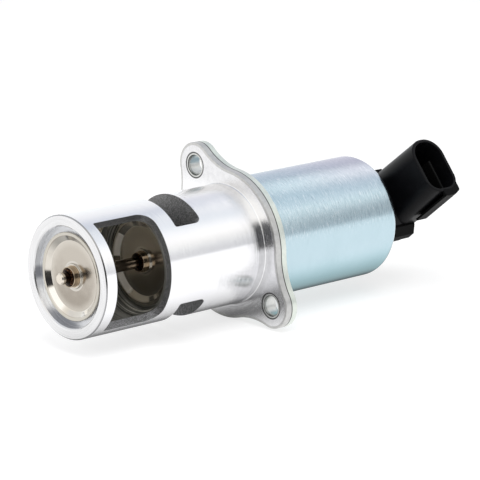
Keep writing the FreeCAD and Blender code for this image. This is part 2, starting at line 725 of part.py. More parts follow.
def rear_cover():
    """Base flange, sensor housing and neck are turned; the socket is drafted out of them at its angle."""
    shell = turned([
        (CAN_END - NECK_LENGTH, NECK_BORE_R),
        (CAN_END - NECK_LENGTH, NECK_R),
        (CAN_END, NECK_R),
        (CAN_END, COVER_BASE_R, -EDGE),
        (CAN_END + COVER_BASE_T, COVER_BASE_R, -3 * EDGE),
        (CAN_END + COVER_BASE_T, COVER_BODY_R),
        (COVER_END, COVER_BODY_R, -COVER_EDGE),
        (COVER_END, 0),
        (COVER_CAVITY_END, 0),
        (COVER_CAVITY_END, NECK_BORE_R),
    ])
    body = shell.fuse(socket_prism(SOCKET_ROOT, SOCKET_HEIGHT, SOCKET_DRAFT, 0))
    body = body.fuse(lock_housing())
    body = body.fuse(socket_stand())
    floor_x = CAN_END + COVER_WALL
    body = body.cut(tube(floor_x, COVER_CAVITY_END, 0, COVER_CAVITY_R))
    body = body.cut(tube(floor_x, CAN_END + COVER_BASE_T - COVER_WALL, 0, COVER_BASE_R - COVER_WALL))
    body = body.cut(tube(CAN_END, CAN_END + 2 * COVER_SEAL_R, COVER_SEAL_PITCH_R - COVER_SEAL_R,
                         COVER_SEAL_PITCH_R + COVER_SEAL_R))
    body = body.cut(socket_prism(SOCKET_FLOOR, SOCKET_HEIGHT, -SOCKET_WALL, -SOCKET_WALL))
    end = SOCKET_DOWN - SOCKET_WALL
    half = SOCKET_TONGUE / 2
    body = body.fuse(socket_block(-half, half, end - SOCKET_TONGUE_LENGTH, end,
                                  SOCKET_FLOOR, SOCKET_TONGUE_TOP))
    body = body.cut(terminal_blades(PRESS, SOCKET_ROOT, SOCKET_FLOOR + TERMINAL_T))
    body = body.cut(lead_holes(CAN_END, floor_x))
    return body.removeSplitter()


def sensor_slider():
    """A plunger that stands on the armature and ends in the slider."""
    return turned([
        (ARMATURE_END, 0),
        (ARMATURE_END, PLUNGER_R),
        (SLIDER_X, PLUNGER_R),
        (SLIDER_X, SLIDER_R, -2 * EDGE),
        (SLIDER_X + SLIDER_LENGTH, SLIDER_R, -2 * EDGE),
        (SLIDER_X + SLIDER_LENGTH, 0),
    ])


def sensor_board():
    x0 = CAN_END + COVER_BASE_T + BEDDING
    return Part.makeBox(BOARD_LENGTH, BOARD_WIDTH, BOARD_T,
                        Vector(x0, -BOARD_WIDTH / 2, -BOARD_OFFSET - BOARD_T))


def slider_wipers():
    """Two bent strips from the slider down to the board's tracks."""
    top = -SLIDER_R + 0.6
    pieces = []
    for side in (1, -1):
        place = side * WIPER_SPREAD
        strip = [
            (SLIDER_X + 1.0, top, 0),
            (SLIDER_X + 1.0 + WIPER_T, top, 0),
            (SLIDER_X + 1.0 + WIPER_T, -SLIDER_R - 0.4, 0),
            (SLIDER_X + SLIDER_LENGTH, -BOARD_OFFSET + SEAT_GAP, 0),
            (SLIDER_X + SLIDER_LENGTH - WIPER_T, -BOARD_OFFSET + SEAT_GAP, 0),
            (SLIDER_X + 1.0, -SLIDER_R - 0.4, 0),
        ]
        face = Part.Face(outline(strip, lambda u, v: Vector(u, place - WIPER_WIDTH / 2, v)))
        pieces.append(face.extrude(Vector(0, WIPER_WIDTH, 0)))
    return Part.Compound(pieces)


def slotted_slider():
    """The slider with the two slots that its wipers are pressed into."""
    body = sensor_slider()
    for side in (1, -1):
        slot = Part.makeBox(WIPER_T + 2 * PRESS, WIPER_WIDTH + 2 * PRESS, SLIDER_R,
                            Vector(SLIDER_X + 1.0 - PRESS, side * WIPER_SPREAD - WIPER_WIDTH / 2 - PRESS,
                                   -2 * SLIDER_R + 0.6 + PRESS))
        body = body.cut(slot)
    return body


def build():
    """Every piece by its name, the fixed ones first."""
    spring_seat = RETAINER_X
    return {
        "barrel_housing": barrel_housing(),
        "stem_guide_bush": tube(END_WALL_X + SCRAPER_LENGTH, BOSS_X, STEM_R + RUNNING, BUSH_R),
        "stem_scraper": tube(END_WALL_X, END_WALL_X + SCRAPER_LENGTH, STEM_R + SCRAPER_PLAY, BUSH_R),
        "ear_eyelets": ear_eyelets(),
        "solenoid_can": solenoid_can(),
        "front_pole": front_pole(),
        "anti_stick_washer": tube(CORE_X, SHIM_X, POLE_CORE_BORE_R, SHIM_R),
        "armature_sleeve": tube(POLE_X, REAR_PLATE_X, SLEEVE_BORE_R, SLEEVE_R),
        "rear_pole": rear_pole(),
        "coil_bobbin": coil_bobbin(),
        "coil_winding": coil_winding(),
        "coil_leads": coil_leads(),
        "can_seal_ring": ring_seal(JOINT_X + POLE_PLATE_T / 2, CAN_BORE_R - CAN_SEAL_R - PRESS,
                                   CAN_SEAL_R - PRESS),
        "rear_cover": rear_cover(),
        "cover_seal_ring": ring_seal(CAN_END + COVER_SEAL_R, COVER_SEAL_PITCH_R, COVER_SEAL_R - PRESS),
        "cover_retainer": tube(CAN_BACK - PUSH_NUT_PLACE - PUSH_NUT_T, CAN_BACK - PUSH_NUT_PLACE,
                               NECK_R + PRESS, PUSH_NUT_R),
        "connector_terminals": terminal_blades(0, TERMINAL_FOOT, TERMINAL_TOP),
        "sensor_board": sensor_board(),
        "valve_stem": valve_stem(),
        "front_poppet": poppet(FRONT + FRONT_DISC_INSET),
        "rear_poppet": poppet(FRONT + REAR_DISC_PLANE),
        "spring_retainer": spring_retainer(),
        "retainer_collets": retainer_collets(),
        "armature": armature(),
        "sensor_slider": slotted_slider(),
        "slider_wipers": slider_wipers(),
        "return_spring": coil_spring(CAVITY_X, spring_seat, SPRING_MEAN_R, SPRING_WIRE_R, SPRING_TURNS),
        "sensor_spring": coil_spring(SLIDER_X + SLIDER_LENGTH, COVER_CAVITY_END, SENSOR_SPRING_R,
                                     SENSOR_WIRE_R, SENSOR_TURNS),
    }


os.makedirs("parts", exist_ok=True)
for name, shape in build().items():
    shape.exportStep(os.path.join("parts", name + ".step"))
    print(f"{name}: {len(shape.Solids)} solids, valid {shape.isValid()}, {shape.Volume:.1f} mm3")
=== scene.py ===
import bpy
import math
import numpy as np
from mathutils import Matrix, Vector
from mathutils.geometry import tessellate_polygon


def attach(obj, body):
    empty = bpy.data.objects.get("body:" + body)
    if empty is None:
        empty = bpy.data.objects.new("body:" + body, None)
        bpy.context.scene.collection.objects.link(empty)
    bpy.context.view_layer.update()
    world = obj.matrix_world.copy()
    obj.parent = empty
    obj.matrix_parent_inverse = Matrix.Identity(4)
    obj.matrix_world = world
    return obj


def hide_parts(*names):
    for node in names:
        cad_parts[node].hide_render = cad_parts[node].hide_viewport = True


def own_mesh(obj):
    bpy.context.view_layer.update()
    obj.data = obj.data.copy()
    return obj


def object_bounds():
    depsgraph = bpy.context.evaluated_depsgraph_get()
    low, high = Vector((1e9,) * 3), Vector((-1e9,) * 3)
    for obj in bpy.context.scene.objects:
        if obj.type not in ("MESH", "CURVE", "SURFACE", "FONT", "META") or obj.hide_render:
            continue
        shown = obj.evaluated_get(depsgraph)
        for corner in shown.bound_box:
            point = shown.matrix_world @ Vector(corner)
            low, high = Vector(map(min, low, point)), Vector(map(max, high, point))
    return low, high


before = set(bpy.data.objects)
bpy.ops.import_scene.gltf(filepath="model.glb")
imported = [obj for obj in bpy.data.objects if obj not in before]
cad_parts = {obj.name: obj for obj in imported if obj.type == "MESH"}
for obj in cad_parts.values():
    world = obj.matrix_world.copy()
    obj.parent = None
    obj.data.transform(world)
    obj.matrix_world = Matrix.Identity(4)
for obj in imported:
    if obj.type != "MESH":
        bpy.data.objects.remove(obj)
cad_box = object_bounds()
scene = bpy.context.scene


def linked(name, data):
    """A new object in the scene."""
    made = bpy.data.objects.new(name, data)
    scene.collection.objects.link(made)
    return made


# The photograph's view: a long lens that looks along the barrel from the front left, a little from above.
# It stands about 0.94 m from the valve, and nothing is out of focus.
photo_lens = bpy.data.cameras.new("photo_lens")
photo_lens.lens = 204.5
photo_lens.sensor_width = 36.0
photo_lens.clip_end = 20.0
photo_camera = linked("photo_camera", photo_lens)
photo_camera.location = (-0.60943, -0.68174, 0.22799)
photo_camera.rotation_euler = (math.radians(76.07), 0.0, math.radians(-42.13))
scene.camera = photo_camera
scene.view_settings.view_transform = "Standard"


# The studio: a plain white floor that keeps a faint shadow, two soft lamps, a white room that is dark round the
# camera and low down to its left, and a curved screen on the right that the can mirrors. Only gloss shows these.
class Value:
    """A shader socket that can stand in a sum: each operator adds one Math node to its tree."""

    def __init__(self, tree, socket):
        self.tree, self.socket = tree, socket

    def maths(self, operation, *terms):
        node = self.tree.nodes.new("ShaderNodeMath")
        node.operation = operation
        for place, term in zip(node.inputs, terms):
            if isinstance(term, Value):
                self.tree.links.new(term.socket, place)
            else:
                place.default_value = term
        return Value(self.tree, node.outputs[0])

    def angle(self, other):
        """The angle in degrees whose tangent is this value over the other."""
        return self.maths("ARCTAN2", self, other) * (180.0 / math.pi)

    def rise(self, low, high):
        """0 below low, 1 above high, with a smooth rise between."""
        return Paint(self.tree).node("MapRange", {"Value": self, "From Min": low, "From Max": high},
                                     {"interpolation_type": "SMOOTHSTEP"})

    def band(self, start, full, full_end, end):
        """1 from full to full_end, with a smooth fall to 0 at start and end."""
        return self.rise(start, full) * self.rise(end, full_end)

    def __abs__(self):
        return self.maths("ABSOLUTE", self)

    def __add__(self, other):
        return self.maths("ADD", self, other)

    def __sub__(self, other):
        return self.maths("SUBTRACT", self, other)

    def __rsub__(self, other):
        return self.maths("SUBTRACT", other, self)

    def __mul__(self, other):
        return self.maths("MULTIPLY", self, other)

    def __truediv__(self, other):
        return self.maths("DIVIDE", self, other)

    def __pow__(self, other):
        return self.maths("POWER", self, other)

    __radd__ = __add__
    __rmul__ = __mul__


class Paint:
    """Adds nodes to a shader tree one by one."""

    def __init__(self, tree):
        self.tree = tree

    def connect(self, place, value):
        if isinstance(value, Value):
            self.tree.links.new(value.socket, place)
        elif isinstance(value, tuple) and place.type == "RGBA":
            place.default_value = (*value, 1.0)
        else:
            place.default_value = value

    def node(self, kind, sockets=None, settings=None, output=0):
        """Adds a node: its settings are made first, then its sockets get values or links."""
        made = self.tree.nodes.new("ShaderNode" + kind)
        for key, value in (settings or {}).items():
            if key == "stops":
                stops = made.color_ramp.elements
                while len(stops) < len(value):
                    stops.new(1.0)
                for stop, (spot, colour) in zip(stops, value):
                    stop.position, stop.color = spot, (*colour, 1.0)
            else:
                setattr(made, key, value)
        for key, value in (sockets or {}).items():
            self.connect(made.inputs[key], value)
        return Value(self.tree, made.outputs[output])

    def split(self, vector):
        return [self.node("SeparateXYZ", {0: vector}, None, i) for i in range(3)]

    def blend(self, share, first, second):
        """The first colour where the share is 0, and the second where it is 1."""
        return self.node("Mix", {0: share, 6: first, 7: second}, {"data_type": "RGBA"}, 2)

    def layers(self, colour, *coats):
        """A colour with others laid over it in turn, each as (share, colour)."""
        for share, over in coats:
            colour = self.blend(share, colour, over)
        return colour

    def ramp(self, angle, tones):
        """Colours at angles from -180 to 180 degrees, blended between them."""
        stops = [((spot + 180) / 360, tone) for spot, tone in tones]
        return self.node("ValToRGB", {"Fac": (angle + 180.0) / 360.0}, {"stops": stops})


class Finish(Paint):
    """A surface finish: one Principled shader with constants of its own, and what varies over the surface."""

    def __init__(self, name, metallic=1.0, **constants):
        self.material = bpy.data.materials.new(name)
        self.material.use_nodes = True
        super().__init__(self.material.node_tree)
        self.shader = self.tree.nodes["Principled BSDF"]
        for socket, value in {"Metallic": metallic, **constants}.items():
            self.connect(self.shader.inputs[socket.replace("_", " ")], value)

    def place(self):
        """Object coordinates in millimetres: along the valve, across it and up, then the distance from its axis."""
        x, y, z = [part * 1000.0 for part in self.split(self.node("TexCoord", output="Object"))]
        return x, y, z, (y * y + z * z) ** 0.5

    def noise(self, x, y, z, detail=2.0, roughness=0.5):
        """Noise that changes about once in each unit of its three numbers."""
        return self.node("TexNoise", {"Vector": self.node("CombineXYZ", {0: x, 1: y, 2: z}),
                                      "Scale": 1.0, "Detail": detail, "Roughness": roughness})

    def grain(self, fineness, detail=2.0, roughness=0.5):
        """Noise that is equally fine along, across and up."""
        x, y, z, r = self.place()
        return self.noise(x * fineness, y * fineness, z * fineness, detail, roughness)

    def marks(self, fineness, drift=0.02):
        """Fine tool lines round the valve: noise that changes fast along it and outwards, and hardly round it."""
        x, y, z, r = self.place()
        return self.noise(x * fineness, r * fineness, (y + z) * drift, 3.0, 0.6)

    def looks(self, colour, roughness, height, depth, metallic=None):
        """Links what varies to the shader; the height is 0 to 1, and the depth is its size in millimetres."""
        self.connect(self.shader.inputs["Base Color"], colour)
        self.connect(self.shader.inputs["Roughness"], roughness)
        bump = self.node("Bump", {"Height": height, "Distance": depth * 0.001})
        self.connect(self.shader.inputs["Normal"], bump)
        if metallic:
            self.connect(self.shader.inputs["Metallic"], metallic)


FLOOR_Z, FLOOR_REACH = cad_box[0][2] - 0.0002, 6.0
floor_paint = Finish("floor_paint", 0.0, Base_Color=(0.93, 0.93, 0.935), Roughness=0.9, Specular_IOR_Level=0.0)
x, y, z, r = floor_paint.place()
in_gloss = floor_paint.node("LightPath", output="Is Glossy Ray")
off_sheet = x.rise(-160, -190) * y.rise(10, -20)
# Painted shadow in the floor's glow, which only reflections see: dark along and under the valve.
near = (1.0 - abs(y).rise(-16, 33)) * x.band(-115, -60, 80, 130)
under = y.band(-9, -2, 6, 15) * x.band(-66, -56, 70, 90)
clear = (1.0 - near) * (1.0 - off_sheet * 0.95) * (1.0 - under * 0.45)
white_share = floor_paint.node("LightPath", output="Is Camera Ray") * 0.58 + in_gloss
bright = floor_paint.blend(in_gloss, (1.19, 1.19, 1.19), (1.2, 1.2, 1.2))
shaded = floor_paint.blend(in_gloss * (1.0 - clear), bright, (0.0, 0.0, 0.0))
glow = floor_paint.node("Emission", {"Color": shaded, "Strength": 1.0})
painted = Value(floor_paint.tree, floor_paint.shader.outputs[0])
both = floor_paint.node("MixShader", {0: white_share, 1: painted, 2: glow})
floor_paint.connect(floor_paint.tree.nodes["Material Output"].inputs[0], both)
floor_mesh = bpy.data.meshes.new("studio_floor")
floor_mesh.from_pydata([(u * FLOOR_REACH, v * FLOOR_REACH, FLOOR_Z) for u, v in ((-1, -1), (1, -1), (1, 1), (-1, 1))],
                       [], [(0, 1, 2, 3)])
floor_mesh.materials.append(floor_paint.material)
studio_floor = linked("studio_floor", floor_mesh)

room = bpy.data.worlds.new("studio_room")
room.use_nodes = True
scene.world = room
walls = Paint(room.node_tree)
way_x, way_y, way_z = walls.split(walls.node("TexCoord", output="Generated"))
WALL_TONES = ((-180, (0.9, 0.9, 0.9)), (-110, (1.05, 1.05, 1.05)), (-80, (1.08, 1.11, 1.12)),
              (-60, (1.03, 1.04, 1.05)), (-42, (0.96, 0.97, 1.0)), (-31, (0.79, 0.82, 0.88)),
              (-21, (0.67, 0.71, 0.79)), (-11, (0.7, 0.75, 0.82)), (-1, (0.8, 0.85, 0.9)),
              (10, (0.85, 0.89, 0.94)), (20, (0.92, 0.96, 1.0)), (32, (1.08, 1.1, 1.11)),
              (48, (1.15, 1.14, 1.12)), (60, (1.11, 1.11, 1.08)), (69, (0.96, 0.97, 0.97)),
              (78, (0.82, 0.82, 0.83)), (82, (0.84, 0.84, 0.85)), (85, (1.2, 1.2, 1.2)), (180, (1.1, 1.1, 1.1)))
tones = walls.ramp((way_y * -1.0).angle(way_z), WALL_TONES)
tones = walls.blend(way_x.rise(-0.5, -0.62), tones, (1.16, 1.14, 1.1))
leftward = (way_x * -1.0).angle(way_y * -1.0)
upward = way_z.maths("ARCSINE", way_z) * (180.0 / math.pi)
by_camera = leftward.band(28, 32, 58, 64) * upward.rise(33, 30)
low_left = leftward.band(50, 58, 80, 88) * upward.rise(16, 12)
tones = walls.blend(by_camera.maths("MAXIMUM", by_camera, low_left), tones, (0.04, 0.04, 0.045))
seen = walls.node("LightPath", output="Is Camera Ray")
mirrored = walls.node("LightPath", output="Is Glossy Ray") + walls.node("LightPath", output="Is Transmission Ray")
backdrop = room.node_tree.nodes["Background"]
walls.connect(backdrop.inputs["Color"], walls.blend(mirrored, (1.0, 1.0, 1.0), tones))
LIGHT_LEVEL, SEEN_LEVEL = 0.55, 1.13
walls.connect(backdrop.inputs["Strength"],
              seen * (SEEN_LEVEL - LIGHT_LEVEL) + mirrored * (1.0 - LIGHT_LEVEL) + LIGHT_LEVEL)

SCREEN_R, SCREEN_X, SCREEN_STEPS = 250.0, (203.0, 450.0), 40
SCREEN_TONES = ((-110, (1.08, 1.09, 1.1)), (-91, (1.02, 1.04, 1.05)), (-75, (0.86, 0.84, 0.92)),
                (-38, (0.78, 0.77, 0.85)), (-31, (1.02, 1.02, 1.04)), (-21, (1.24, 1.22, 1.24)),
                (-11, (1.36, 1.32, 1.3)), (-1, (1.12, 1.1, 1.12)), (9, (0.9, 0.93, 0.98)),
                (19, (0.88, 0.92, 0.97)), (30, (1.06, 1.06, 1.09)), (40, (1.2, 1.19, 1.18)),
                (49, (1.06, 1.05, 1.04)), (58, (0.78, 0.77, 0.78)), (68, (0.62, 0.62, 0.63)), (83, (0.58, 0.6, 0.63)))
screen_paint = Finish("screen_paint", 0.0, Base_Color=(0.0, 0.0, 0.0), Roughness=1.0, Specular_IOR_Level=0.0,
                      Emission_Strength=1.0)
x, y, z, r = screen_paint.place()
screen_paint.connect(screen_paint.shader.inputs["Emission Color"],
                     screen_paint.ramp((y * -1.0).angle(z), SCREEN_TONES))
turns = np.radians(np.linspace(SCREEN_TONES[0][0], SCREEN_TONES[-1][0], SCREEN_STEPS))
arc = np.stack([-np.sin(turns), np.cos(turns)], -1) * SCREEN_R
rows = np.concatenate([np.concatenate([np.full((SCREEN_STEPS, 1), x), arc], 1) for x in SCREEN_X]) * 0.001
screen_mesh = bpy.data.meshes.new("curved_screen")
screen_mesh.from_pydata(rows.tolist(), [], [(i, i + 1, i + 1 + SCREEN_STEPS, i + SCREEN_STEPS)
                                            for i in range(SCREEN_STEPS - 1)])
screen_mesh.materials.append(screen_paint.material)
curved_screen = linked("curved_screen", screen_mesh)
curved_screen.visible_diffuse = curved_screen.visible_shadow = curved_screen.visible_camera = False
curved_screen.visible_transmission = False

for lamp_name, spot, size, watts in (("lamp_above", (-0.25, -0.45, 1.1), 0.9, 10.0),
                                     ("lamp_left", (-1.2, 0.15, 0.55), 0.6, 4.0)):
    lamp = bpy.data.lights.new(lamp_name, "AREA")
    lamp.size = size
    lamp.energy = watts
    holder = linked(lamp_name, lamp)
    look = -np.array(spot) / np.linalg.norm(spot)
    side = np.cross(look, (0.0, 0.0, 1.0))
    side /= np.linalg.norm(side)
    turn = np.eye(4)
    turn[:3] = np.stack([side, np.cross(side, look), -look, spot], 1)
    holder.matrix_world = Matrix(turn.tolist())
    holder.visible_glossy = False


# The barrel housing: one aluminium casting, turned bright on the outside, with its gas windows cast in and
# left dark and grainy inside. Its flange is the mounting face, and both seats are bored in one setting.
AROUND = 180


def grid(points, normals, wrap_rows=False, wrap_columns=False):
    """Quads between neighbours of a (rows, columns, 3) array of points; a wrapped side closes on itself."""
    index = np.arange(points.shape[0] * points.shape[1]).reshape(points.shape[:2])
    if wrap_rows:
        index = np.concatenate([index, index[:1]], 0)
    if wrap_columns:
        index = np.concatenate([index, index[:, :1]], 1)
    quads = np.stack([index[:-1, :-1], index[1:, :-1], index[1:, 1:], index[:-1, 1:]], -1)
    return points.reshape(-1, 3), quads.reshape(-1, 4), normals.reshape(-1, 3)


def rounded(corners, steps=6, facing=1.0, hand=0.0):
    """A closed line through corners (u, v, radius), as its points and their outward normals.

    A corner with a radius is the arc that touches both of its sides. A sharp corner is listed twice, once
    with the normal of each side. The hand, 1 for the right and -1 for the left of the way along the line,
    says which side the normals are on. It is only given where the closing side would cross the line.
    """
    spots = np.array([c[:2] for c in corners], float)
    radii = np.array([c[2] if len(c) > 2 else 0.0 for c in corners])
    after = np.roll(spots, -1, 0) - spots
    after /= np.linalg.norm(after, axis=1)[:, None]
    before = np.roll(after, 1, 0)
    bends = np.arctan2(before[:, 0] * after[:, 1] - before[:, 1] * after[:, 0], (before * after).sum(1))
    hand = hand or np.sign(bends.sum())
    points, normals = [], []
    for spot, radius, way, bend in zip(spots, radii, before, bends):
        first = hand * np.array([way[1], -way[0]])
        swing = np.linspace(0.0, bend, steps + 1 if radius else 2)[:, None]
        normal = first * np.cos(swing) + np.array([-first[1], first[0]]) * np.sin(swing)
        reach = radius * hand * np.sign(bend)
        centre = spot - way * radius * math.tan(abs(bend) / 2) - first * reach
        points.append(centre + normal * reach)
        normals.append(normal)
    return np.concatenate(points), np.concatenate(normals) * facing


def strip(corners, steps=6, facing=1.0, hand=0.0):
    """The same line left open: it starts at the first corner and ends at the last."""
    points, normals = rounded(corners, steps, facing, hand)
    return points[1:-1], normals[1:-1]


def turned(line, closed=False, count=AROUND, axis=(0.0, 0.0)):
    """A line (x, r) carried round an axis along the valve: the point at angle a is (x, -r sin a, r cos a)."""
    a = np.radians(np.arange(count) * 360.0 / count)
    ring = np.stack([-np.sin(a), np.cos(a)], -1)
    made = [np.concatenate([np.repeat(part[:, None, :1], count, 1), part[:, None, 1:] * ring], -1) for part in line]
    return grid(made[0] + np.array([0.0, *axis]), made[1], closed, True)


def washer(x, r_in, r_out, facing):
    """A flat ring across the valve axis, which faces along it: circles about the axis at even steps of radius."""
    radii = np.linspace(r_in, r_out, 4)
    line = np.stack([np.full(4, x), radii], -1)
    return turned((line, np.tile([facing, 0.0], (4, 1))))


ACROSS = np.array([(0.0, 0.0, 0.0), (0.0, 1.0, 0.0), (0.0, 0.0, 1.0), (1.0, 0.0, 0.0)])


def carried(outline, section, stand=ACROSS):
    """A section (height, outwards) taken round a closed outline (u, v).

    Each outline point moves along its own normal by the outward number, at that height. The stand gives
    the origin and the directions of u, v and the height.
    """
    (line, out), (step, lean) = outline, section
    flat = line[None] + out[None] * step[:, 1, None, None]
    points = stand[0] + flat @ stand[1:3] + step[:, 0, None, None] * stand[3]
    normals = (out[None] * lean[:, 1, None, None]) @ stand[1:3] + lean[:, 0, None, None] * stand[3]
    return grid(points, normals, False, True)


def circle(radius, count=AROUND, centre=(0.0, 0.0)):
    """Points of a circle, at the same angles as a turned surface."""
    a = np.radians(np.arange(count) * 360.0 / count)
    return np.stack([-radius * np.sin(a), radius * np.cos(a)], -1) + np.array(centre)


def inset(outline, depth):
    """The outline moved inwards along its normals."""
    return outline[0] - outline[1] * depth


def filled(curves, height, facing, stand=ACROSS):
    """A flat face inside the first closed curve and outside the others, cut into triangles."""
    curves = [c[np.linalg.norm(c - np.roll(c, 1, 0), axis=1) > 1e-5] for c in curves]
    triangles = np.array(tessellate_polygon([[(u, v, 0.0) for u, v in c] for c in curves]))
    points = stand[0] + np.concatenate(curves) @ stand[1:3] + height * stand[3]
    return points, np.concatenate([triangles, triangles[:, :1]], 1), np.repeat([facing * stand[3]], len(points), 0)


def capped(outline, section, finish, stand):
    """A section carried round a closed outline, with a flat face on each of its two ends."""
    faces = [filled([inset(outline, -out)], height, facing, stand)
             for (height, out), facing in ((section[0][0], -1.0), (section[0][-1], 1.0))]
    return [(*surface, finish) for surface in (carried(outline, section, stand), *faces)]


MERGE_STEPS = 2000.0


def piece(name, body, nodes, surfaces):
    """One object from surfaces (points, quads, normals, finish), worked out in millimetres.

    Points in the same half-thousandth become one, each face is turned towards its own normals, and every corner
    of a face keeps the exact normal of its surface.
    """
    finishes = list(dict.fromkeys(s[3] for s in surfaces))
    points = np.concatenate([s[0] for s in surfaces])
    normals = np.concatenate([s[2] for s in surfaces])
    starts = np.cumsum([0] + [len(s[0]) for s in surfaces])
    quads = np.concatenate([s[1] + start for s, start in zip(surfaces, starts)])
    slots = np.repeat([finishes.index(s[3]) for s in surfaces], [len(s[1]) for s in surfaces])
    spots, same = np.unique(np.round(points * MERGE_STEPS).astype(np.int64), axis=0, return_inverse=True)
    first = np.zeros(len(spots), np.int64)
    first[same.reshape(-1)] = np.arange(len(points))
    spots, same = points[first] * 0.001, same.reshape(-1)
    corner = points[quads]
    face = np.cross(corner[:, 2] - corner[:, 0], corner[:, 3] - corner[:, 1])
    back = (face * normals[quads].sum(1)).sum(1) < 0
    quads[back] = quads[back][:, ::-1]
    merged = same[quads]
    fresh = merged != np.roll(merged, 1, 1)
    keep = (fresh.sum(1) > 2) & (merged[:, 0] != merged[:, 2]) & (merged[:, 1] != merged[:, 3])
    quads, slots, merged, fresh = quads[keep], slots[keep], merged[keep], fresh[keep]
    mesh = bpy.data.meshes.new(name)
    mesh.vertices.add(len(spots))
    mesh.vertices.foreach_set("co", spots.astype(np.float32).ravel())
    mesh.loops.add(int(fresh.sum()))
    mesh.loops.foreach_set("vertex_index", merged[fresh].astype(np.int32))
    mesh.polygons.add(len(quads))
    mesh.polygons.foreach_set("loop_start", np.concatenate([[0], np.cumsum(fresh.sum(1))[:-1]]).astype(np.int32))
    mesh.polygons.foreach_set("material_index", slots.astype(np.int32))
    for finish in finishes:
        mesh.materials.append(finish.material)
    mesh.update(calc_edges=True)
    mesh.shade_smooth()
    corner_normals = normals[quads][fresh]
    mesh.normals_split_custom_set((corner_normals / np.linalg.norm(corner_normals, axis=1)[:, None]).tolist())
    made = linked(name, mesh)
    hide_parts(*nodes)
    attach(made, body)
    return made


bright_aluminium = Finish("bright_aluminium")
lines = bright_aluminium.marks(5.0)
clouds = bright_aluminium.blend(bright_aluminium.grain(0.06), (0.84, 0.84, 0.87), (0.93, 0.93, 0.935))
bright_aluminium.looks(clouds, lines * 0.06 + 0.08, lines, 0.05)

faced_aluminium = Finish("faced_aluminium")
x, y, z, r = faced_aluminium.place()
lines = faced_aluminium.noise(r * 2.5, y * 0.12, z * 0.12)
# Painted shade: a dark ring on the rounded outer edge of the front face.
faced = faced_aluminium.layers((0.66, 0.66, 0.665), (lines, (0.84, 0.84, 0.85)),
                               (r.rise(20.55, 20.75), (0.36, 0.36, 0.37)))
faced_aluminium.looks(faced, lines * 0.1 + 0.2, lines, 0.004)

seat_aluminium = Finish("seat_aluminium", 0.0)
x, y, z, r = seat_aluminium.place()
lines = seat_aluminium.marks(4.0)
rings = seat_aluminium.marks(1.5).rise(0.5, 0.64)
inside = x.rise(-55, -50)
deep = seat_aluminium.blend(rings, (0.2, 0.2, 0.18), (0.66, 0.64, 0.58))
counterbore = r.rise(14.4, 14.7) * x.rise(-66, -67)
# Painted shade on the counterbore wall: a band at mid height on its +y side, and a patch at its bottom.
painted_shade = z.band(-4.5, -2.5, -0.5, 1.5) * y.rise(9, 14)
painted_shade = painted_shade + z.rise(-11.5, -14.5) * y.rise(-6, 0)
# Painted light on the lower left of the counterbore wall.
painted_light_lower_left = z.rise(-5, -8) * y.rise(6, 10)
counterbore_light_and_shade = seat_aluminium.layers((0.7, 0.71, 0.73), (painted_light_lower_left, (0.9, 0.9, 0.9)), (painted_shade * 0.8, (0.24, 0.25, 0.28)))
bored = seat_aluminium.layers((0.78, 0.79, 0.81), (lines, (0.92, 0.92, 0.93)), (inside, deep), (counterbore, counterbore_light_and_shade))
seat_aluminium.looks(bored, lines * 0.1 + 0.1, lines, 0.003, 1.0 - counterbore * 0.75 - inside * 0.7)

cast_aluminium = Finish("cast_aluminium", 0.8)
x, y, z, r = cast_aluminium.place()
grain = cast_aluminium.grain(2.6, 4.0, 0.65)
# Painted shade on the top of the front window's cut face.
painted_shade_upper_cut = z.rise(15, 18) * x.rise(-41, -46)
cast = cast_aluminium.layers((0.13, 0.13, 0.132), (grain.rise(0.35, 0.7), (0.4, 0.4, 0.405)),
                             (painted_shade_upper_cut * 0.7, (0.03, 0.03, 0.028)))
cast_aluminium.looks(cast, grain * 0.3 + 0.4, grain, 0.12)

chamber_aluminium = Finish("chamber_aluminium", 0.3)
x, y, z, r = chamber_aluminium.place()
grain = chamber_aluminium.grain(2.6, 4.0, 0.65)
lines = chamber_aluminium.marks(1.2).rise(0.42, 0.66)
# Painted light on the lining's far side, above its bottom; elsewhere the lining stays dark.
low_down = chamber_aluminium.blend(grain * 0.4 + lines * 0.6, (0.07, 0.07, 0.062), (0.38, 0.37, 0.34))
painted_light_far_side = chamber_aluminium.blend(grain, (0.7, 0.66, 0.56), (0.95, 0.9, 0.8))
far = y.rise(6, 12) * z.rise(-11, -5)
chamber_aluminium.looks(chamber_aluminium.blend(far, low_down, painted_light_far_side), grain * 0.3 + 0.25, grain, 0.06)

FRONT, LEAD_IN = -69.8, 0.4
BARREL_R, CHAMBER_R, THROAT_R, SEAT_R = 21.0, 18.4, 13.2, 14.268
COUNTERBORE_R, POCKET_R, POCKET_X, REAR_BORE_R = 17.2, 17.4, -39.8, 16.4
FRONT_SEAT, REAR_SEAT = (-67.1, -66.297), (-37.3, -36.497)
FRONT_CHAMBER, REAR_CHAMBER = (-65.4, -42.2), (-35.4, -24.0)
GUIDE_R, BOSS_R, BOSS_X, CAVITY_R, CAVITY_X = 4.52, 9.5, -9.0, 17.5, -19.0
SHARP_CORNER, FRONT_WINDOW_CORNER, REAR_WINDOW_CORNER = 0.8, 5.5, 2.5
FLANGE_R, FLANGE_T, EAR_R, BLEND_R = 26.2, 2.5, 8.0, 25.0
FOOT_X, FOOT_R, RECESS_R = -3.0, 22.4, 18.4
BOLT_HOLES = np.array([(15.456, 25.158), (-23.653, -17.673)])
EYELET_R, EYELET_LIP_R, EYELET_GAP, LIP_T = 3.7, 4.3, 0.02, 0.5


def on_cylinder(x, angle, radius, facing=1.0):
    """Points (x, -r sin a, r cos a) of a cylinder about the valve axis, with normals along the radius."""
    a = np.radians(angle)
    ring = np.stack([0 * a, -np.sin(a), np.cos(a)], -1)
    return np.stack([x, 0 * x, 0 * x], -1) + ring * radius, ring * facing


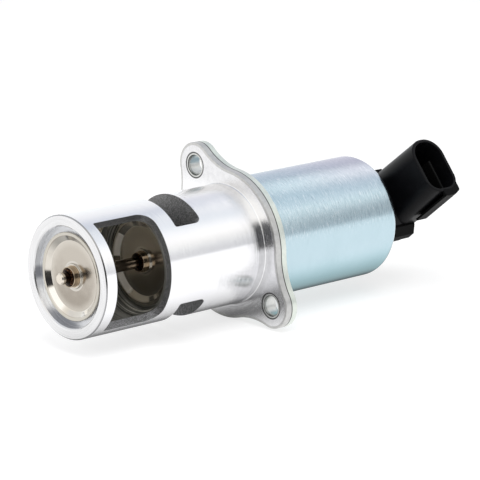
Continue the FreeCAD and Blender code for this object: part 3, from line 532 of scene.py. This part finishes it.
def window_rows(ends, angles, corners, frame_x, frame_a):
    """The outline of a window and the frame round it, as two closed rows of matching (x, angle) points.

    Frame points beside a straight edge of the window stand square to it, and those near its corners share
    out the rounded corner evenly.
    """
    degree = math.degrees(1.0 / BARREL_R)
    front, rear = corners
    inner, outer = [], []
    for along, fixed, fixed_frame, low_r, high_r in ((True, angles[0], frame_a[0], front, rear),
                                                     (False, ends[1], frame_x[-1], rear, rear),
                                                     (True, angles[1], frame_a[-1], rear, front),
                                                     (False, ends[0], frame_x[0], front, front)):
        run = frame_x if along else frame_a
        low, high = ends if along else angles
        unit, cross_unit = (1.0, degree) if along else (degree, 1.0)
        turned_back = fixed in (angles[1], ends[0])
        if turned_back:
            low_r, high_r = high_r, low_r
        start, stop = low + low_r * unit, high - high_r * unit
        swing_low = np.clip((start - run) / (start - run[0]), 0, 1) * math.pi / 4
        swing_high = np.clip((run - stop) / (run[-1] - stop), 0, 1) * math.pi / 4
        main = np.clip(run, start, stop) - low_r * unit * np.sin(swing_low) + high_r * unit * np.sin(swing_high)
        pulled = (low_r * (1 - np.cos(swing_low)) + high_r * (1 - np.cos(swing_high))) * cross_unit
        inward = 1.0 if fixed in (angles[0], ends[0]) else -1.0
        edge, border = fixed + inward * pulled, np.full_like(run, fixed_frame)
        rows = [np.stack(pair if along else pair[::-1], -1) for pair in ((main, edge), (run, border))]
        rows = [row[::-1][:-1] if turned_back else row[:-1] for row in rows]
        inner.append(rows[0])
        outer.append(rows[1])
    return np.concatenate(inner), np.concatenate(outer)


def between(inner, outer, radius, facing, steps=4):
    """The cylinder's skin between a window's outline and its frame, by straight blends of the two rows."""
    share = np.linspace(0, 1, steps + 1)[:, None, None]
    place = inner * (1 - share) + outer * share
    return grid(*on_cylinder(place[..., 0], place[..., 1], radius, facing), False, True)


def cut_face(outline, r_out, r_in):
    """The window's cut face: straight lines towards the axis from its outline, facing the window's middle."""
    radii = np.linspace(r_out, r_in, 4)[:, None, None]
    place, ring = on_cylinder(outline[:, 0], outline[:, 1], 0.0)
    points = place[None] + ring[None] * radii
    run = np.roll(points, -1, 1) - np.roll(points, 1, 1)
    normals = np.cross(run, np.broadcast_to(ring, points.shape))
    towards = points.mean(1, keepdims=True) - points
    normals *= np.sign((normals * towards).sum(-1, keepdims=True)) / np.linalg.norm(normals, axis=-1, keepdims=True)
    return grid(points, normals, False, True)


def skin(x, angles, radius, facing):
    """A plain patch of a cylinder at these places along the valve and these angles round it."""
    xs, turns = np.meshgrid(x, angles, indexing="ij")
    return grid(*on_cylinder(xs, turns, radius, facing))


FRAME, STEP = 1.5, 2.0
front_band = np.linspace(FRONT_CHAMBER[0] - FRAME, FRONT_CHAMBER[1] + FRAME, 27)
rear_band = np.linspace(REAR_CHAMBER[0] - FRAME, REAR_CHAMBER[1] + FRAME, 16)
barrel = []
for ends, band, corner, lining, windows in (
        (FRONT_CHAMBER, front_band, FRONT_WINDOW_CORNER, chamber_aluminium, ((24.0, 141.0),)),
        (REAR_CHAMBER, rear_band, REAR_WINDOW_CORNER, cast_aluminium, ((-56.0, 47.0), (124.0, 227.0)))):
    inner_band = np.unique(np.clip(band, *ends))
    starts, stops = [], []
    for low, high in windows:
        frame_a = np.arange(2 * math.floor(low / 2) - 6, 2 * math.ceil(high / 2) + 7, STEP)
        outline, border = window_rows(ends, (low, high), (SHARP_CORNER, corner), band, frame_a)
        inner_border = np.stack([np.clip(border[:, 0], *ends), border[:, 1]], -1)
        barrel += [(*between(outline, border, BARREL_R, 1.0), bright_aluminium),
                   (*between(outline, inner_border, CHAMBER_R, -1.0), lining),
                   (*cut_face(outline, BARREL_R, CHAMBER_R), cast_aluminium)]
        starts.append(frame_a[0])
        stops.append(frame_a[-1])
    for stop, start in zip(stops, starts[1:] + [starts[0] + 360]):
        rest = np.arange(stop, start + 1, STEP)
        barrel += [(*skin(band, rest, BARREL_R, 1.0), bright_aluminium),
                   (*skin(inner_band, rest, CHAMBER_R, -1.0), lining)]
every = np.arange(0.0, 361.0, STEP)
for low, high in ((FRONT + LEAD_IN, front_band[0]), (front_band[-1], rear_band[0]), (rear_band[-1], FOOT_X)):
    barrel.append((*skin(np.linspace(low, high, 3), every, BARREL_R, 1.0), bright_aluminium))

face = strip([(FRONT + LEAD_IN, BARREL_R), (FRONT, BARREL_R - LEAD_IN, 0.2), (FRONT, COUNTERBORE_R + LEAD_IN, 0.15),
              (FRONT + LEAD_IN, COUNTERBORE_R)], 4)
front_seat = strip([(FRONT + LEAD_IN, COUNTERBORE_R), (FRONT_SEAT[0], COUNTERBORE_R, 0.3), (FRONT_SEAT[0], SEAT_R),
                    (FRONT_SEAT[1], THROAT_R, 0.15), (FRONT_CHAMBER[0], THROAT_R)], 4, hand=1.0)
rear_seat = strip([(FRONT_CHAMBER[1], POCKET_R), (POCKET_X, POCKET_R), (POCKET_X, REAR_BORE_R, 0.15),
                   (REAR_SEAT[0], REAR_BORE_R, 0.3), (REAR_SEAT[0], SEAT_R), (REAR_SEAT[1], THROAT_R, 0.15),
                   (REAR_CHAMBER[0], THROAT_R)], 4, hand=1.0)
end_wall = strip([(REAR_CHAMBER[1], CHAMBER_R), (REAR_CHAMBER[1], GUIDE_R), (BOSS_X, GUIDE_R), (BOSS_X, BOSS_R),
                  (CAVITY_X, BOSS_R, 1.0), (CAVITY_X, CAVITY_R, 2.0), (FLANGE_T, CAVITY_R), (FLANGE_T, RECESS_R)])
barrel += [
    (*turned(face), faced_aluminium),
    (*turned(front_seat), seat_aluminium),
    (*washer(FRONT_CHAMBER[0], THROAT_R, CHAMBER_R, 1.0), chamber_aluminium),
    (*washer(FRONT_CHAMBER[1], POCKET_R, CHAMBER_R, -1.0), chamber_aluminium),
    (*turned(rear_seat), seat_aluminium),
    (*washer(REAR_CHAMBER[0], THROAT_R, CHAMBER_R, 1.0), cast_aluminium),
    (*turned(end_wall), cast_aluminium)]


def eared_outline(steps=40):
    """The flange's outline with its normals: arcs of the round flange, of the two ears and of the hollow
    blends between them. A blend's centre is at the sum of the radii from the flange's and the ear's centres.
    """
    lines, normals = [], []
    far, near = FLANGE_R + BLEND_R, EAR_R + BLEND_R

    def blend_centre(hole, side):
        reach = np.linalg.norm(hole)
        swing = side * math.acos((reach ** 2 + far ** 2 - near ** 2) / (2 * reach * far))
        way = math.atan2(hole[1], hole[0]) + swing
        return far * np.array([math.cos(way), math.sin(way)])

    def arc(centre, radius, start, end, facing):
        first, last = [math.atan2(*(p - centre)[::-1]) for p in (start, end)]
        swing = (last - first + math.pi) % (2 * math.pi) - math.pi
        a = first + swing * np.linspace(0, 1, steps + 1)
        ring = np.stack([np.cos(a), np.sin(a)], -1)
        lines.append((centre + radius * ring)[:-1])
        normals.append(facing * ring[:-1])

    middle = np.zeros(2)
    for hole, other in ((BOLT_HOLES[0], BOLT_HOLES[1]), (BOLT_HOLES[1], BOLT_HOLES[0])):
        before, after, following = blend_centre(hole, -1), blend_centre(hole, 1), blend_centre(other, -1)
        on_disc = before * FLANGE_R / far
        on_ear = hole + (before - hole) * EAR_R / near
        off_ear = hole + (after - hole) * EAR_R / near
        off_disc = after * FLANGE_R / far
        arc(before, BLEND_R, on_disc, on_ear, -1.0)
        arc(hole, EAR_R, on_ear, off_ear, 1.0)
        arc(after, BLEND_R, off_ear, off_disc, -1.0)
        arc(middle, FLANGE_R, off_disc, following * FLANGE_R / far, 1.0)
    return np.concatenate(lines), np.concatenate(normals)


def plate_edge(x0, x1, softness):
    """A plate's edge as a section: in over the front face, round its softened corners, in over the back."""
    return strip([(x0, -1.0), (x0, 0.0, softness), (x1, 0.0, softness), (x1, -1.0)], 4)


def from_holes(y, z):
    """The distance from the nearer bolt hole's axis, as a shader value."""
    reach = [((y - hole[0]) ** 2 + (z - hole[1]) ** 2) ** 0.5 for hole in BOLT_HOLES.tolist()]
    return reach[0].maths("MINIMUM", *reach)


satin_aluminium = Finish("satin_aluminium")
x, y, z, r = satin_aluminium.place()
lines = satin_aluminium.marks(6.0, 0.05)
# Painted light in a band on the flange face below the upper ear, and painted shade in a dark ring round each eyelet's
# lip.
painted_light_below_ear = z.band(0, 6, 16, 23)
painted_shade_round_lip = from_holes(y, z).rise(4.85, 4.55)
satin = satin_aluminium.layers((0.64, 0.64, 0.655), (satin_aluminium.grain(0.5, 4.0), (0.83, 0.83, 0.84)),
                               (painted_light_below_ear * 0.8, (0.96, 0.96, 0.965)), (painted_shade_round_lip, (0.12, 0.12, 0.12)))
satin_aluminium.looks(satin, lines * 0.08 + 0.11, lines, 0.02)

edge_aluminium = Finish("edge_aluminium")
x, y, z, r = edge_aluminium.place()
mottle = edge_aluminium.grain(0.7, 4.0)
edge_grey = edge_aluminium.layers((0.44, 0.44, 0.435), (mottle, (0.68, 0.68, 0.67)),
                                  (x.rise(2.2, 2.4), (0.1, 0.1, 0.1)))
edge_aluminium.looks(edge_grey, mottle * 0.2 + 0.28, mottle, 0.02)

flange_line = eared_outline()
flange_rim = inset(flange_line, 1.0)
EYELET_STEPS = 60
lip_circles = [circle(EYELET_LIP_R + EYELET_GAP, EYELET_STEPS, hole) for hole in BOLT_HOLES]
hole_circles = [circle(EYELET_R + EYELET_GAP, EYELET_STEPS, hole) for hole in BOLT_HOLES]
foot = strip([(FOOT_X, BARREL_R), (0.0, BARREL_R, 0.4), (0.0, FOOT_R)], 6, -1.0)
barrel += [
    (*turned(foot), satin_aluminium),
    (*carried(flange_line, plate_edge(0.0, FLANGE_T, 0.3)), edge_aluminium),
    (*filled([flange_rim, circle(FOOT_R), *lip_circles], 0.0, -1.0), satin_aluminium),
    (*filled([flange_rim, circle(RECESS_R), *hole_circles], FLANGE_T, 1.0), satin_aluminium)]
recess = strip([(0.0, 6.0), (0.0, EYELET_LIP_R + EYELET_GAP), (LIP_T, EYELET_LIP_R + EYELET_GAP),
                (LIP_T, EYELET_R + EYELET_GAP), (FLANGE_T, EYELET_R + EYELET_GAP), (FLANGE_T, 6.0)])
for hole in BOLT_HOLES:
    barrel.append((*turned((recess[0][1:-1], recess[1][1:-1]), False, EYELET_STEPS, hole), satin_aluminium))
piece("barrel_casting", "valve_body", ["barrel_housing"], barrel)


# The two valve discs: pressed steel dishes, nickel-bright, on turned hubs that are welded to the stem. The
# weld has tinted the metal round the hub brown; painted shade and painted reflections stand for the discs' light.
disc_steel = Finish("disc_steel")
x, y, z, r = disc_steel.place()
lines = disc_steel.marks(2.5, 0.05)
mottle = disc_steel.grain(0.4, 4.0)
level = z / r
on_rear, on_front = x.rise(-50, -45), x.rise(-60, -65)
on_cone = r.band(11.9, 12.1, 13.8, 14)
# Painted shade: the pans darken towards the bottom, with a mottled edge.
stain_and_shade = (z + mottle * 10.0).rise(12, -6)
painted_shade = abs(level).rise(0.95, 0.25) * 0.2
# Painted shade darkens the rear pan on its left and right, and painted light brightens its lower half.
pan = disc_steel.layers((0.5, 0.46, 0.405), (stain_and_shade, (0.34, 0.305, 0.26)),
                        (r.rise(5.2, 5), (0.58, 0.55, 0.5)), (on_rear * painted_shade, (0.14, 0.125, 0.1)),
                        (on_rear * z.rise(2, -7) * 0.5, (0.72, 0.64, 0.53)))
in_pan = r.rise(11.9, 9) * 0.5 + r.rise(12, 11.8) * 0.5
# Painted reflections: bright, less metallic segments on the rear disc's cone that stand for reflected window light.
painted_reflection = level.band(-0.05, -0.02, 0.58, 0.61) + level.band(-0.93, -0.86, -0.46, -0.44)
painted_reflection = painted_reflection * on_cone * y.rise(3, 5) * on_rear
# Painted shade on the upper part of the front disc's cone, and a painted glint on its lower part.
painted_shade_cone, painted_glint_cone = level.rise(0.45, 0.85), level.band(-0.96, -0.88, -0.5, -0.42)
# Painted shade in the crease at the disc's lip and at its rim edge.
painted_crease_shade = r.band(13.55, 13.7, 13.85, 14) + r.rise(14.75, 14.9)
nickel = disc_steel.layers((0.6, 0.565, 0.505), (mottle, (0.72, 0.68, 0.62)), (in_pan, pan),
                           (r.rise(13.9, 14.1), (0.53, 0.505, 0.45)), (painted_reflection, (0.97, 0.92, 0.84)),
                           (on_cone * on_front * painted_shade_cone, (0.33, 0.315, 0.285)),
                           (on_cone * on_front * painted_glint_cone, (0.9, 0.88, 0.84)),
                           (r.rise(3.9, 3.6), (0.46, 0.37, 0.27)), (painted_crease_shade * 0.35, (0.3, 0.25, 0.2)),
                           ((r + mottle * 0.8).rise(3.55, 3.3), (0.22, 0.13, 0.08)))
matt_pan = r.rise(12, 11.6) * 0.09
disc_steel.looks(nickel, lines * 0.06 + mottle * 0.05 + matt_pan + 0.05, lines, 0.003, 1.0 - painted_reflection * 0.95)

weld_steel = Finish("weld_steel")
x, y, z, r = weld_steel.place()
beads = weld_steel.noise(x * 1.5, y * 1.8, z * 1.8, 3.0)
weld_steel.looks(weld_steel.blend(beads.rise(0.52, 0.8), (0.012, 0.006, 0.004), (0.26, 0.12, 0.05)),
                 beads * 0.3 + 0.2, beads, 0.1)

DISC_R, DISC_T, DISH_DEPTH, HUB_LENGTH = 15.0, 0.8, 1.55, 2.5
HUB_R, SHOULDER_R, BORE_R = 3.45, 4.3, 2.02
for disc_name, rim in (("front_poppet", -68.15), ("rear_poppet", -38.35)):
    floor, hub_face = rim + DISH_DEPTH, rim + DISH_DEPTH - HUB_LENGTH
    disc = turned(rounded([(hub_face + 0.1, 3.1), (hub_face, 3.2, 0.1), (hub_face, HUB_R, 0.2),
                           (floor - 0.6, HUB_R, 0.15), (floor - 0.6, SHOULDER_R, 0.2), (floor, SHOULDER_R, 0.15),
                           (floor, 11.94, 0.7), (rim, 14.0, 0.7), (rim, DISC_R, 0.25), (rim + DISC_T, DISC_R, 0.25),
                           (rim + DISC_T, 13.6, 0.3), (floor + DISC_T, 11.5, 0.8), (floor + DISC_T, BORE_R),
                           (hub_face + 0.1, BORE_R)], 5), True)
    weld = turned(rounded([(hub_face - 0.5, BORE_R, 0.1), (hub_face - 0.1, 3.0, 0.5), (hub_face + 0.12, 3.2, 0.1),
                           (hub_face + 0.3, BORE_R)], 6), True)
    piece(disc_name + "_disc", "stem_group", [disc_name], [(*disc, disc_steel), (*weld, weld_steel)])


# The stem: one ground steel rod through both discs, the guide bush and the solenoid's core. Its front end
# stands out of the barrel with a small chamfer.
stem_steel = Finish("stem_steel")
lines = stem_steel.marks(3.0, 0.1)
x, y, z, r = stem_steel.place()
warm = x.rise(-70, -66) * 0.75
burnt = x.band(-71.7, -71.3, -68.5, -67.5) + x.band(-42.4, -41, -38.5, -37.5)
steel = stem_steel.layers((0.64, 0.58, 0.5), (lines, (0.78, 0.72, 0.64)), (warm, (0.3, 0.24, 0.185)),
                          (burnt, (0.02, 0.011, 0.007)))
stem_steel.looks(steel, lines * 0.12 + 0.14, lines, 0.003)
STEM_R, STEM_X, TIP = 2.0, (-72.8, 38.0), 0.4
stem = turned(rounded([(STEM_X[0], 0.0), (STEM_X[0], STEM_R - TIP, 0.1), (STEM_X[0] + TIP, STEM_R, 0.2),
                       (STEM_X[1] - TIP, STEM_R, 0.2), (STEM_X[1], STEM_R - TIP, 0.1), (STEM_X[1], 0.0)], 4), True, 72)
piece("stem_rod", "stem_group", ["valve_stem"], [(*stem, stem_steel)])


# What guides the stem: a sintered bronze bush and a hard steel scraper ring in front of it, which keeps the soot
# out. Both are pressed into the barrel's end wall.
def coat(finish, *nodes):
    """Puts a finish on nodes that keep the shape of the solid model."""
    for node in nodes:
        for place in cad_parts[node].material_slots:
            place.material = finish.material


def plain_metal(name, dark, light, roughness, fineness=3.0):
    """Turned or drawn metal of one colour: tool lines carry it from dark to light."""
    finish = Finish(name)
    lines = finish.marks(fineness, 0.1)
    finish.looks(finish.blend(lines, dark, light), lines * 0.2 + (roughness - 0.1), lines, 0.004)
    return finish


bronze = plain_metal("sintered_bronze", (0.42, 0.28, 0.14), (0.62, 0.44, 0.24), 0.45)
hard_steel = plain_metal("hard_steel", (0.36, 0.36, 0.37), (0.52, 0.52, 0.53), 0.3)
coat(bronze, "stem_guide_bush")
coat(hard_steel, "stem_scraper")


# The eyelets: zinc-plated tubes, one in each ear, whose rolled lips hold the two flanges together. The front
# lip lies flush in the casting, and the rear one stands on the steel flange.
eyelet_steel = Finish("eyelet_steel")
x, y, z, r = eyelet_steel.place()
spots = eyelet_steel.grain(0.9, 3.0)
off_hole = from_holes(y, z)
# Painted shade: thin dark rings at the outer and inner edges of each eyelet's lip.
rim = off_hole.rise(4.12, 4.28) + off_hole.band(3.45, 3.55, 3.65, 3.75)
plated = eyelet_steel.layers((0.5, 0.51, 0.5), (spots, (0.76, 0.77, 0.75)), (rim, (0.1, 0.1, 0.1)))
eyelet_steel.looks(plated, spots * 0.2 + 0.22, spots, 0.01)
EYELET_BORE_R, BACK_LIP_X = 3.3, 5.0
eyelet_line = rounded([(0.0, 3.6, 0.35), (0.0, EYELET_LIP_R, 0.2), (LIP_T, EYELET_LIP_R), (LIP_T, EYELET_R),
                       (BACK_LIP_X, EYELET_R), (BACK_LIP_X, EYELET_LIP_R, 0.1),
                       (BACK_LIP_X + LIP_T, EYELET_LIP_R, 0.2), (BACK_LIP_X + LIP_T, 3.5, 0.4),
                       (4.7, EYELET_BORE_R, 0.4), (0.8, EYELET_BORE_R, 0.4)], 5)
eyelets = [(*turned(eyelet_line, True, EYELET_STEPS, hole), eyelet_steel) for hole in BOLT_HOLES]
piece("bolt_eyelets", "valve_body", ["ear_eyelets"], eyelets)


# The solenoid's can: one deep-drawn steel cup with an eared plate at its mouth, blue zinc plated. Drawing has
# left fine scratches round it.
blue_zinc = Finish("blue_zinc")
x, y, z, r = blue_zinc.place()
scratch = blue_zinc.noise(x * 3.2, y * 0.42, z * 0.42, 5.0, 0.75)
stain_and_shade = blue_zinc.noise(x * 0.1, y * 0.07, z * 0.07, 3.0)
upper = z.rise(0, 6) * 0.6 + 0.08
zinc = blue_zinc.layers((0.46, 0.6, 0.66), (stain_and_shade, (0.54, 0.68, 0.75)),
                        # Painted highlight: a lavender tint over the top towards the rear. Painted shade: a darker
                        # teal low down.
                        (z.rise(12, 22) * x.rise(15, 60), (0.56, 0.58, 0.66)),
                        (z.rise(-4, -21), (0.27, 0.52, 0.57)),
                        (scratch.rise(0.5, 0.3) * upper, (0.34, 0.42, 0.48)),
                        (scratch.rise(0.52, 0.68) * upper, (0.84, 0.89, 0.92)))
blue_zinc.looks(zinc, scratch * 0.16 + 0.13, scratch, 0.012)

plate_zinc = Finish("plate_zinc")
x, y, z, r = plate_zinc.place()
wear = plate_zinc.grain(0.7, 4.0)
cream = plate_zinc.layers((0.58, 0.63, 0.585), (wear, (0.82, 0.86, 0.8)),
                          (x.rise(2.8, 2.6), (0.1, 0.1, 0.1)))
plate_zinc.looks(cream, wear * 0.2 + 0.22, wear, 0.01)

PLATE_X, CAN_R, CAN_WALL, CAN_END = (2.5, 5.0), 21.7, 2.0, 63.7
root = strip([(PLATE_X[1], 23.4), (PLATE_X[1], CAN_R, 0.6), (6.5, CAN_R)], 6, -1.0)
cup = strip([(6.5, CAN_R), (CAN_END, CAN_R, 3.0), (CAN_END, 5.1), (CAN_END - CAN_WALL, 5.1),
             (CAN_END - CAN_WALL, CAN_R - CAN_WALL, 1.0), (PLATE_X[0], CAN_R - CAN_WALL), (PLATE_X[0], 20.7)], 10)
can = [(*turned(root), blue_zinc),
       (*turned(cup), blue_zinc),
       (*filled([flange_rim, circle(20.7), *hole_circles], PLATE_X[0], -1.0), plate_zinc),
       (*carried(flange_line, plate_edge(*PLATE_X, 0.35)), plate_zinc),
       (*filled([flange_rim, circle(23.4), *hole_circles], PLATE_X[1], 1.0), plate_zinc)]
wall = np.array([(place, EYELET_R + EYELET_GAP) for place in PLATE_X]), np.array([(0.0, -1.0), (0.0, -1.0)])
can += [(*turned(wall, False, EYELET_STEPS, hole), plate_zinc) for hole in BOLT_HOLES]
piece("can_shell", "valve_body", ["solenoid_can"], can)


# Inside the can: the two iron pole pieces, the copper coil on its bobbin, the steel sleeve and the armature
# that pulls the stem. None of it shows.
pole_iron = plain_metal("pole_iron", (0.34, 0.34, 0.36), (0.5, 0.5, 0.52), 0.4)
sleeve_steel = plain_metal("sleeve_steel", (0.52, 0.52, 0.54), (0.68, 0.68, 0.7), 0.25)
shim_brass = plain_metal("shim_brass", (0.62, 0.47, 0.2), (0.8, 0.64, 0.32), 0.3)
copper_wire = plain_metal("copper_wire", (0.5, 0.2, 0.09), (0.8, 0.4, 0.2), 0.3, 6.0)


def moulding(name, dark, light, roughness, fineness=3.0, gloss=0.5):
    """Moulded plastic or rubber: a fine even grain in its colour, sheen and skin."""
    finish = Finish(name, 0.0, Specular_IOR_Level=gloss)
    grain = finish.grain(fineness, 3.0, 0.6)
    finish.looks(finish.blend(grain, dark, light), grain * 0.2 + (roughness - 0.1), grain, 0.02)
    return finish


bobbin_plastic = moulding("bobbin_plastic", (0.08, 0.07, 0.06), (0.15, 0.13, 0.12), 0.45)
seal_rubber = moulding("seal_rubber", (0.02, 0.02, 0.02), (0.05, 0.05, 0.05), 0.6)
coat(pole_iron, "front_pole", "rear_pole", "armature")
coat(sleeve_steel, "armature_sleeve", "spring_retainer", "retainer_collets")
coat(shim_brass, "anti_stick_washer", "slider_wipers")
coat(copper_wire, "coil_winding", "coil_leads")
coat(bobbin_plastic, "coil_bobbin")
coat(seal_rubber, "can_seal_ring", "cover_seal_ring")


# The rear cover: one black moulding with a satin skin. The plug socket stands on it at 51 degrees from upright,
# with a central tongue, two rows of terminals and a pocket for the plug's latch at its lower end. A square block
# below the socket steadies it on the cover.
TILT = math.radians(51.0)
SOCKET = np.array([(78.95, 0.0, 0.0), (1.0, 0.0, 0.0), (0.0, -math.cos(TILT), -math.sin(TILT)),
                   (0.0, -math.sin(TILT), math.cos(TILT))])
black_plastic = Finish("black_plastic", 0.0, Specular_IOR_Level=0.1)
fine = black_plastic.grain(4.0, 3.0, 0.6)
black = black_plastic.blend(black_plastic.grain(0.3), (0.002, 0.002, 0.0025), (0.005, 0.005, 0.006))
black_plastic.looks(black, fine * 0.15 + 0.27, fine, 0.02)
matt_plastic = moulding("matt_plastic", (0.002, 0.002, 0.002), (0.006, 0.006, 0.006), 0.5, 4.0, 0.05)

NECK_X, NECK_R, NECK_BORE_R, BASE_X, BASE_R = 60.6, 5.0, 2.0, 67.7, 15.0
COVER_X, COVER_R, COVER_BEVEL, COVER_WALL = 82.7, 12.5, 1.6, 1.7
cover_line = rounded([(NECK_X, NECK_BORE_R), (NECK_X, NECK_R), (CAN_END, NECK_R), (CAN_END, BASE_R, 0.3),
                      (BASE_X, BASE_R, 0.8), (BASE_X, COVER_R, 0.3), (COVER_X - COVER_BEVEL, COVER_R, 0.5),
                      (COVER_X, COVER_R - COVER_BEVEL, 0.5), (COVER_X, 0.0), (COVER_X - COVER_WALL, 0.0),
                      (COVER_X - COVER_WALL, COVER_R - COVER_WALL), (CAN_END + COVER_WALL, COVER_R - COVER_WALL),
                      (CAN_END + COVER_WALL, NECK_BORE_R)], 5)
SOCKET_ROOT, SOCKET_FLOOR, SOCKET_HEIGHT, SOCKET_WALL = 6.0, 16.0, 31.0, 1.2
socket_line = rounded([(-7.4, -11.2, 6.9), (7.4, -11.2, 6.9), (7.4, 9.9, 5.6), (-7.4, 9.9, 5.6)], 14)
socket_side = strip([(SOCKET_ROOT, -1.0), (SOCKET_ROOT, 0.5), (SOCKET_HEIGHT, 0.0, 0.35),
                     (SOCKET_HEIGHT, -SOCKET_WALL, 0.25), (SOCKET_FLOOR, -SOCKET_WALL, 0.4),
                     (SOCKET_FLOOR, -2 * SOCKET_WALL)], 5)
TONGUE_TIP = 29.8
tongue_line = rounded([(-0.4, -3.0, 0.15), (0.4, -3.0, 0.15), (0.4, 8.7, 0.1), (-0.4, 8.7, 0.1)], 3)
tongue_side = strip([(SOCKET_FLOOR - 0.5, 0.0), (TONGUE_TIP, 0.0, 0.15), (TONGUE_TIP, -0.25)], 3)
cover = [(*turned(cover_line, True), black_plastic),
         *capped(socket_line, socket_side, black_plastic, SOCKET),
         (*carried(tongue_line, tongue_side, SOCKET), matt_plastic),
         (*filled([inset(tongue_line, 0.25)], TONGUE_TIP, 1.0, SOCKET), matt_plastic)]


def block(line, low, high, softness=0.15, stand=SOCKET):
    """A moulded block: a closed outline carried from low to high, with softened edges and flat ends."""
    side = strip([(low, -2 * softness), (low, 0.0, softness), (high, 0.0, softness), (high, -2 * softness)], 3)
    return capped(line, side, matt_plastic, stand)


BLOCK_X, BLOCK_STAND = (65.7, 81.1), np.array([(0.0, 0.0, 0.0), SOCKET[2], SOCKET[3], (1.0, 0.0, 0.0)])
stand_line = rounded([(-12.2, -1.6), (-13.6, 1.6), (-13.6, 5.1, 0.3), (-11.2, 5.1), (-10.05, 7.4), (11.0, 7.4, 0.3),
                      (13.6, 4.8, 0.3), (13.6, 1.6, 0.3), (12.2, -1.6)], 4)
cover += block(stand_line, *BLOCK_X, 0.15, BLOCK_STAND)
LATCH_ROOT, LATCH_BAR = 12.5, 29.8
latch_wall = [(-1.5, 9.3), (6.8, 9.3, 5.0), (6.8, 4.3), (7.3, 4.3), (6.4, 7.3), (6.4, 10.5, 1.0), (3.4, 11.9, 1.5),
              (-1.5, 11.9)]
latch_pocket = [(-1.5, 11.1), (4.8, 11.1), (4.8, 9.9), (-1.5, 9.9)]
cover += block(rounded(latch_wall, 8), LATCH_BAR, SOCKET_HEIGHT)
cover += block(rounded(latch_wall + latch_pocket, 8), LATCH_ROOT, LATCH_BAR + 0.1, 0.05)
piece("cover_moulding", "valve_body", ["rear_cover"], cover)


# The terminals: five tinned blades with chamfered tips, three in front of the tongue and two behind it. They are
# moulded into the socket's floor.
tin = plain_metal("terminal_tin", (0.62, 0.62, 0.6), (0.8, 0.8, 0.78), 0.3)
BLADE = ((-0.3, -0.75), (0.3, -0.75), (0.3, 0.75), (-0.3, 0.75))
BLADE_FOOT, BLADE_TIP, BLADE_PITCH, ROW_X, ROW_MIDDLE = 9.6, 24.5, 4.0, 3.2, -0.65
blade_side = strip([(BLADE_FOOT, -0.1), (BLADE_FOOT, 0.0), (BLADE_TIP - 0.5, 0.0), (BLADE_TIP, -0.15),
                    (BLADE_TIP, -0.25)], 2)
blades = []
for side, count in ((-ROW_X, 3), (ROW_X, 2)):
    for i in range(count):
        middle = ROW_MIDDLE + (i - (count - 1) / 2) * BLADE_PITCH
        blades += capped(rounded([(side + u, middle + v) for u, v in BLADE]), blade_side, tin, SOCKET)
piece("terminal_blades", "valve_body", ["connector_terminals"], blades)


# The lift sensor under the cover: a moulded slider with brass wipers on a printed ceramic board. The push-on
# washer that holds the cover's neck in the can goes with it.
slider_plastic = moulding("slider_plastic", (0.7, 0.68, 0.62), (0.84, 0.82, 0.77), 0.3)
board_ceramic = moulding("board_ceramic", (0.76, 0.74, 0.68), (0.88, 0.86, 0.81), 0.5)
coat(slider_plastic, "sensor_slider")
coat(board_ceramic, "sensor_board")
coat(sleeve_steel, "cover_retainer")


# The springs: the strong one stands between end wall and retainer and shuts the valve, and the small one keeps
# the slider on the armature.
spring_steel = plain_metal("spring_steel", (0.3, 0.3, 0.32), (0.55, 0.55, 0.57), 0.3)
coat(spring_steel, "sensor_spring")
SPRING_X, SPRING_R, WIRE_R, TURNS = (-19.0, -3.2), 11.5, 0.9, 5


def wound_wire(ends, mean_r, wire_r, turns, columns=12):
    """A round wire wound about the valve axis: its middle goes round at the mean radius while it moves evenly
    from end to end, and flat caps close it.
    """
    t = np.linspace(0.0, 1.0, 48 * turns + 1)
    a = 2 * math.pi * turns * t
    out = np.stack([0 * a, np.sin(a), -np.cos(a)], -1)
    middle = out * mean_r + np.stack([ends[0] + wire_r + t * (ends[1] - ends[0] - 2 * wire_r), 0 * a, 0 * a], -1)
    b = np.radians(np.arange(columns) * 360.0 / columns)[None, :, None]
    lean = out[:, None] * np.cos(b) + np.array([1.0, 0.0, 0.0]) * np.sin(b)
    way = np.stack([0 * a, np.cos(a), np.sin(a)], -1)
    body = middle[:, None] + wire_r * lean
    first, last = [np.broadcast_to(w, body[0].shape) for w in (-way[0], way[-1])]
    centres = [np.broadcast_to(m, body[0].shape) for m in (middle[0], middle[-1])]
    points = np.stack([centres[0], body[0], *body, body[-1], centres[1]])
    normals = np.stack([first, first, *lean, last, last])
    return grid(points, normals, False, True)


spring = piece("closing_spring", "valve_body", ["return_spring"],
               [(*wound_wire(SPRING_X, SPRING_R, WIRE_R, TURNS), spring_steel)])
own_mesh(spring)
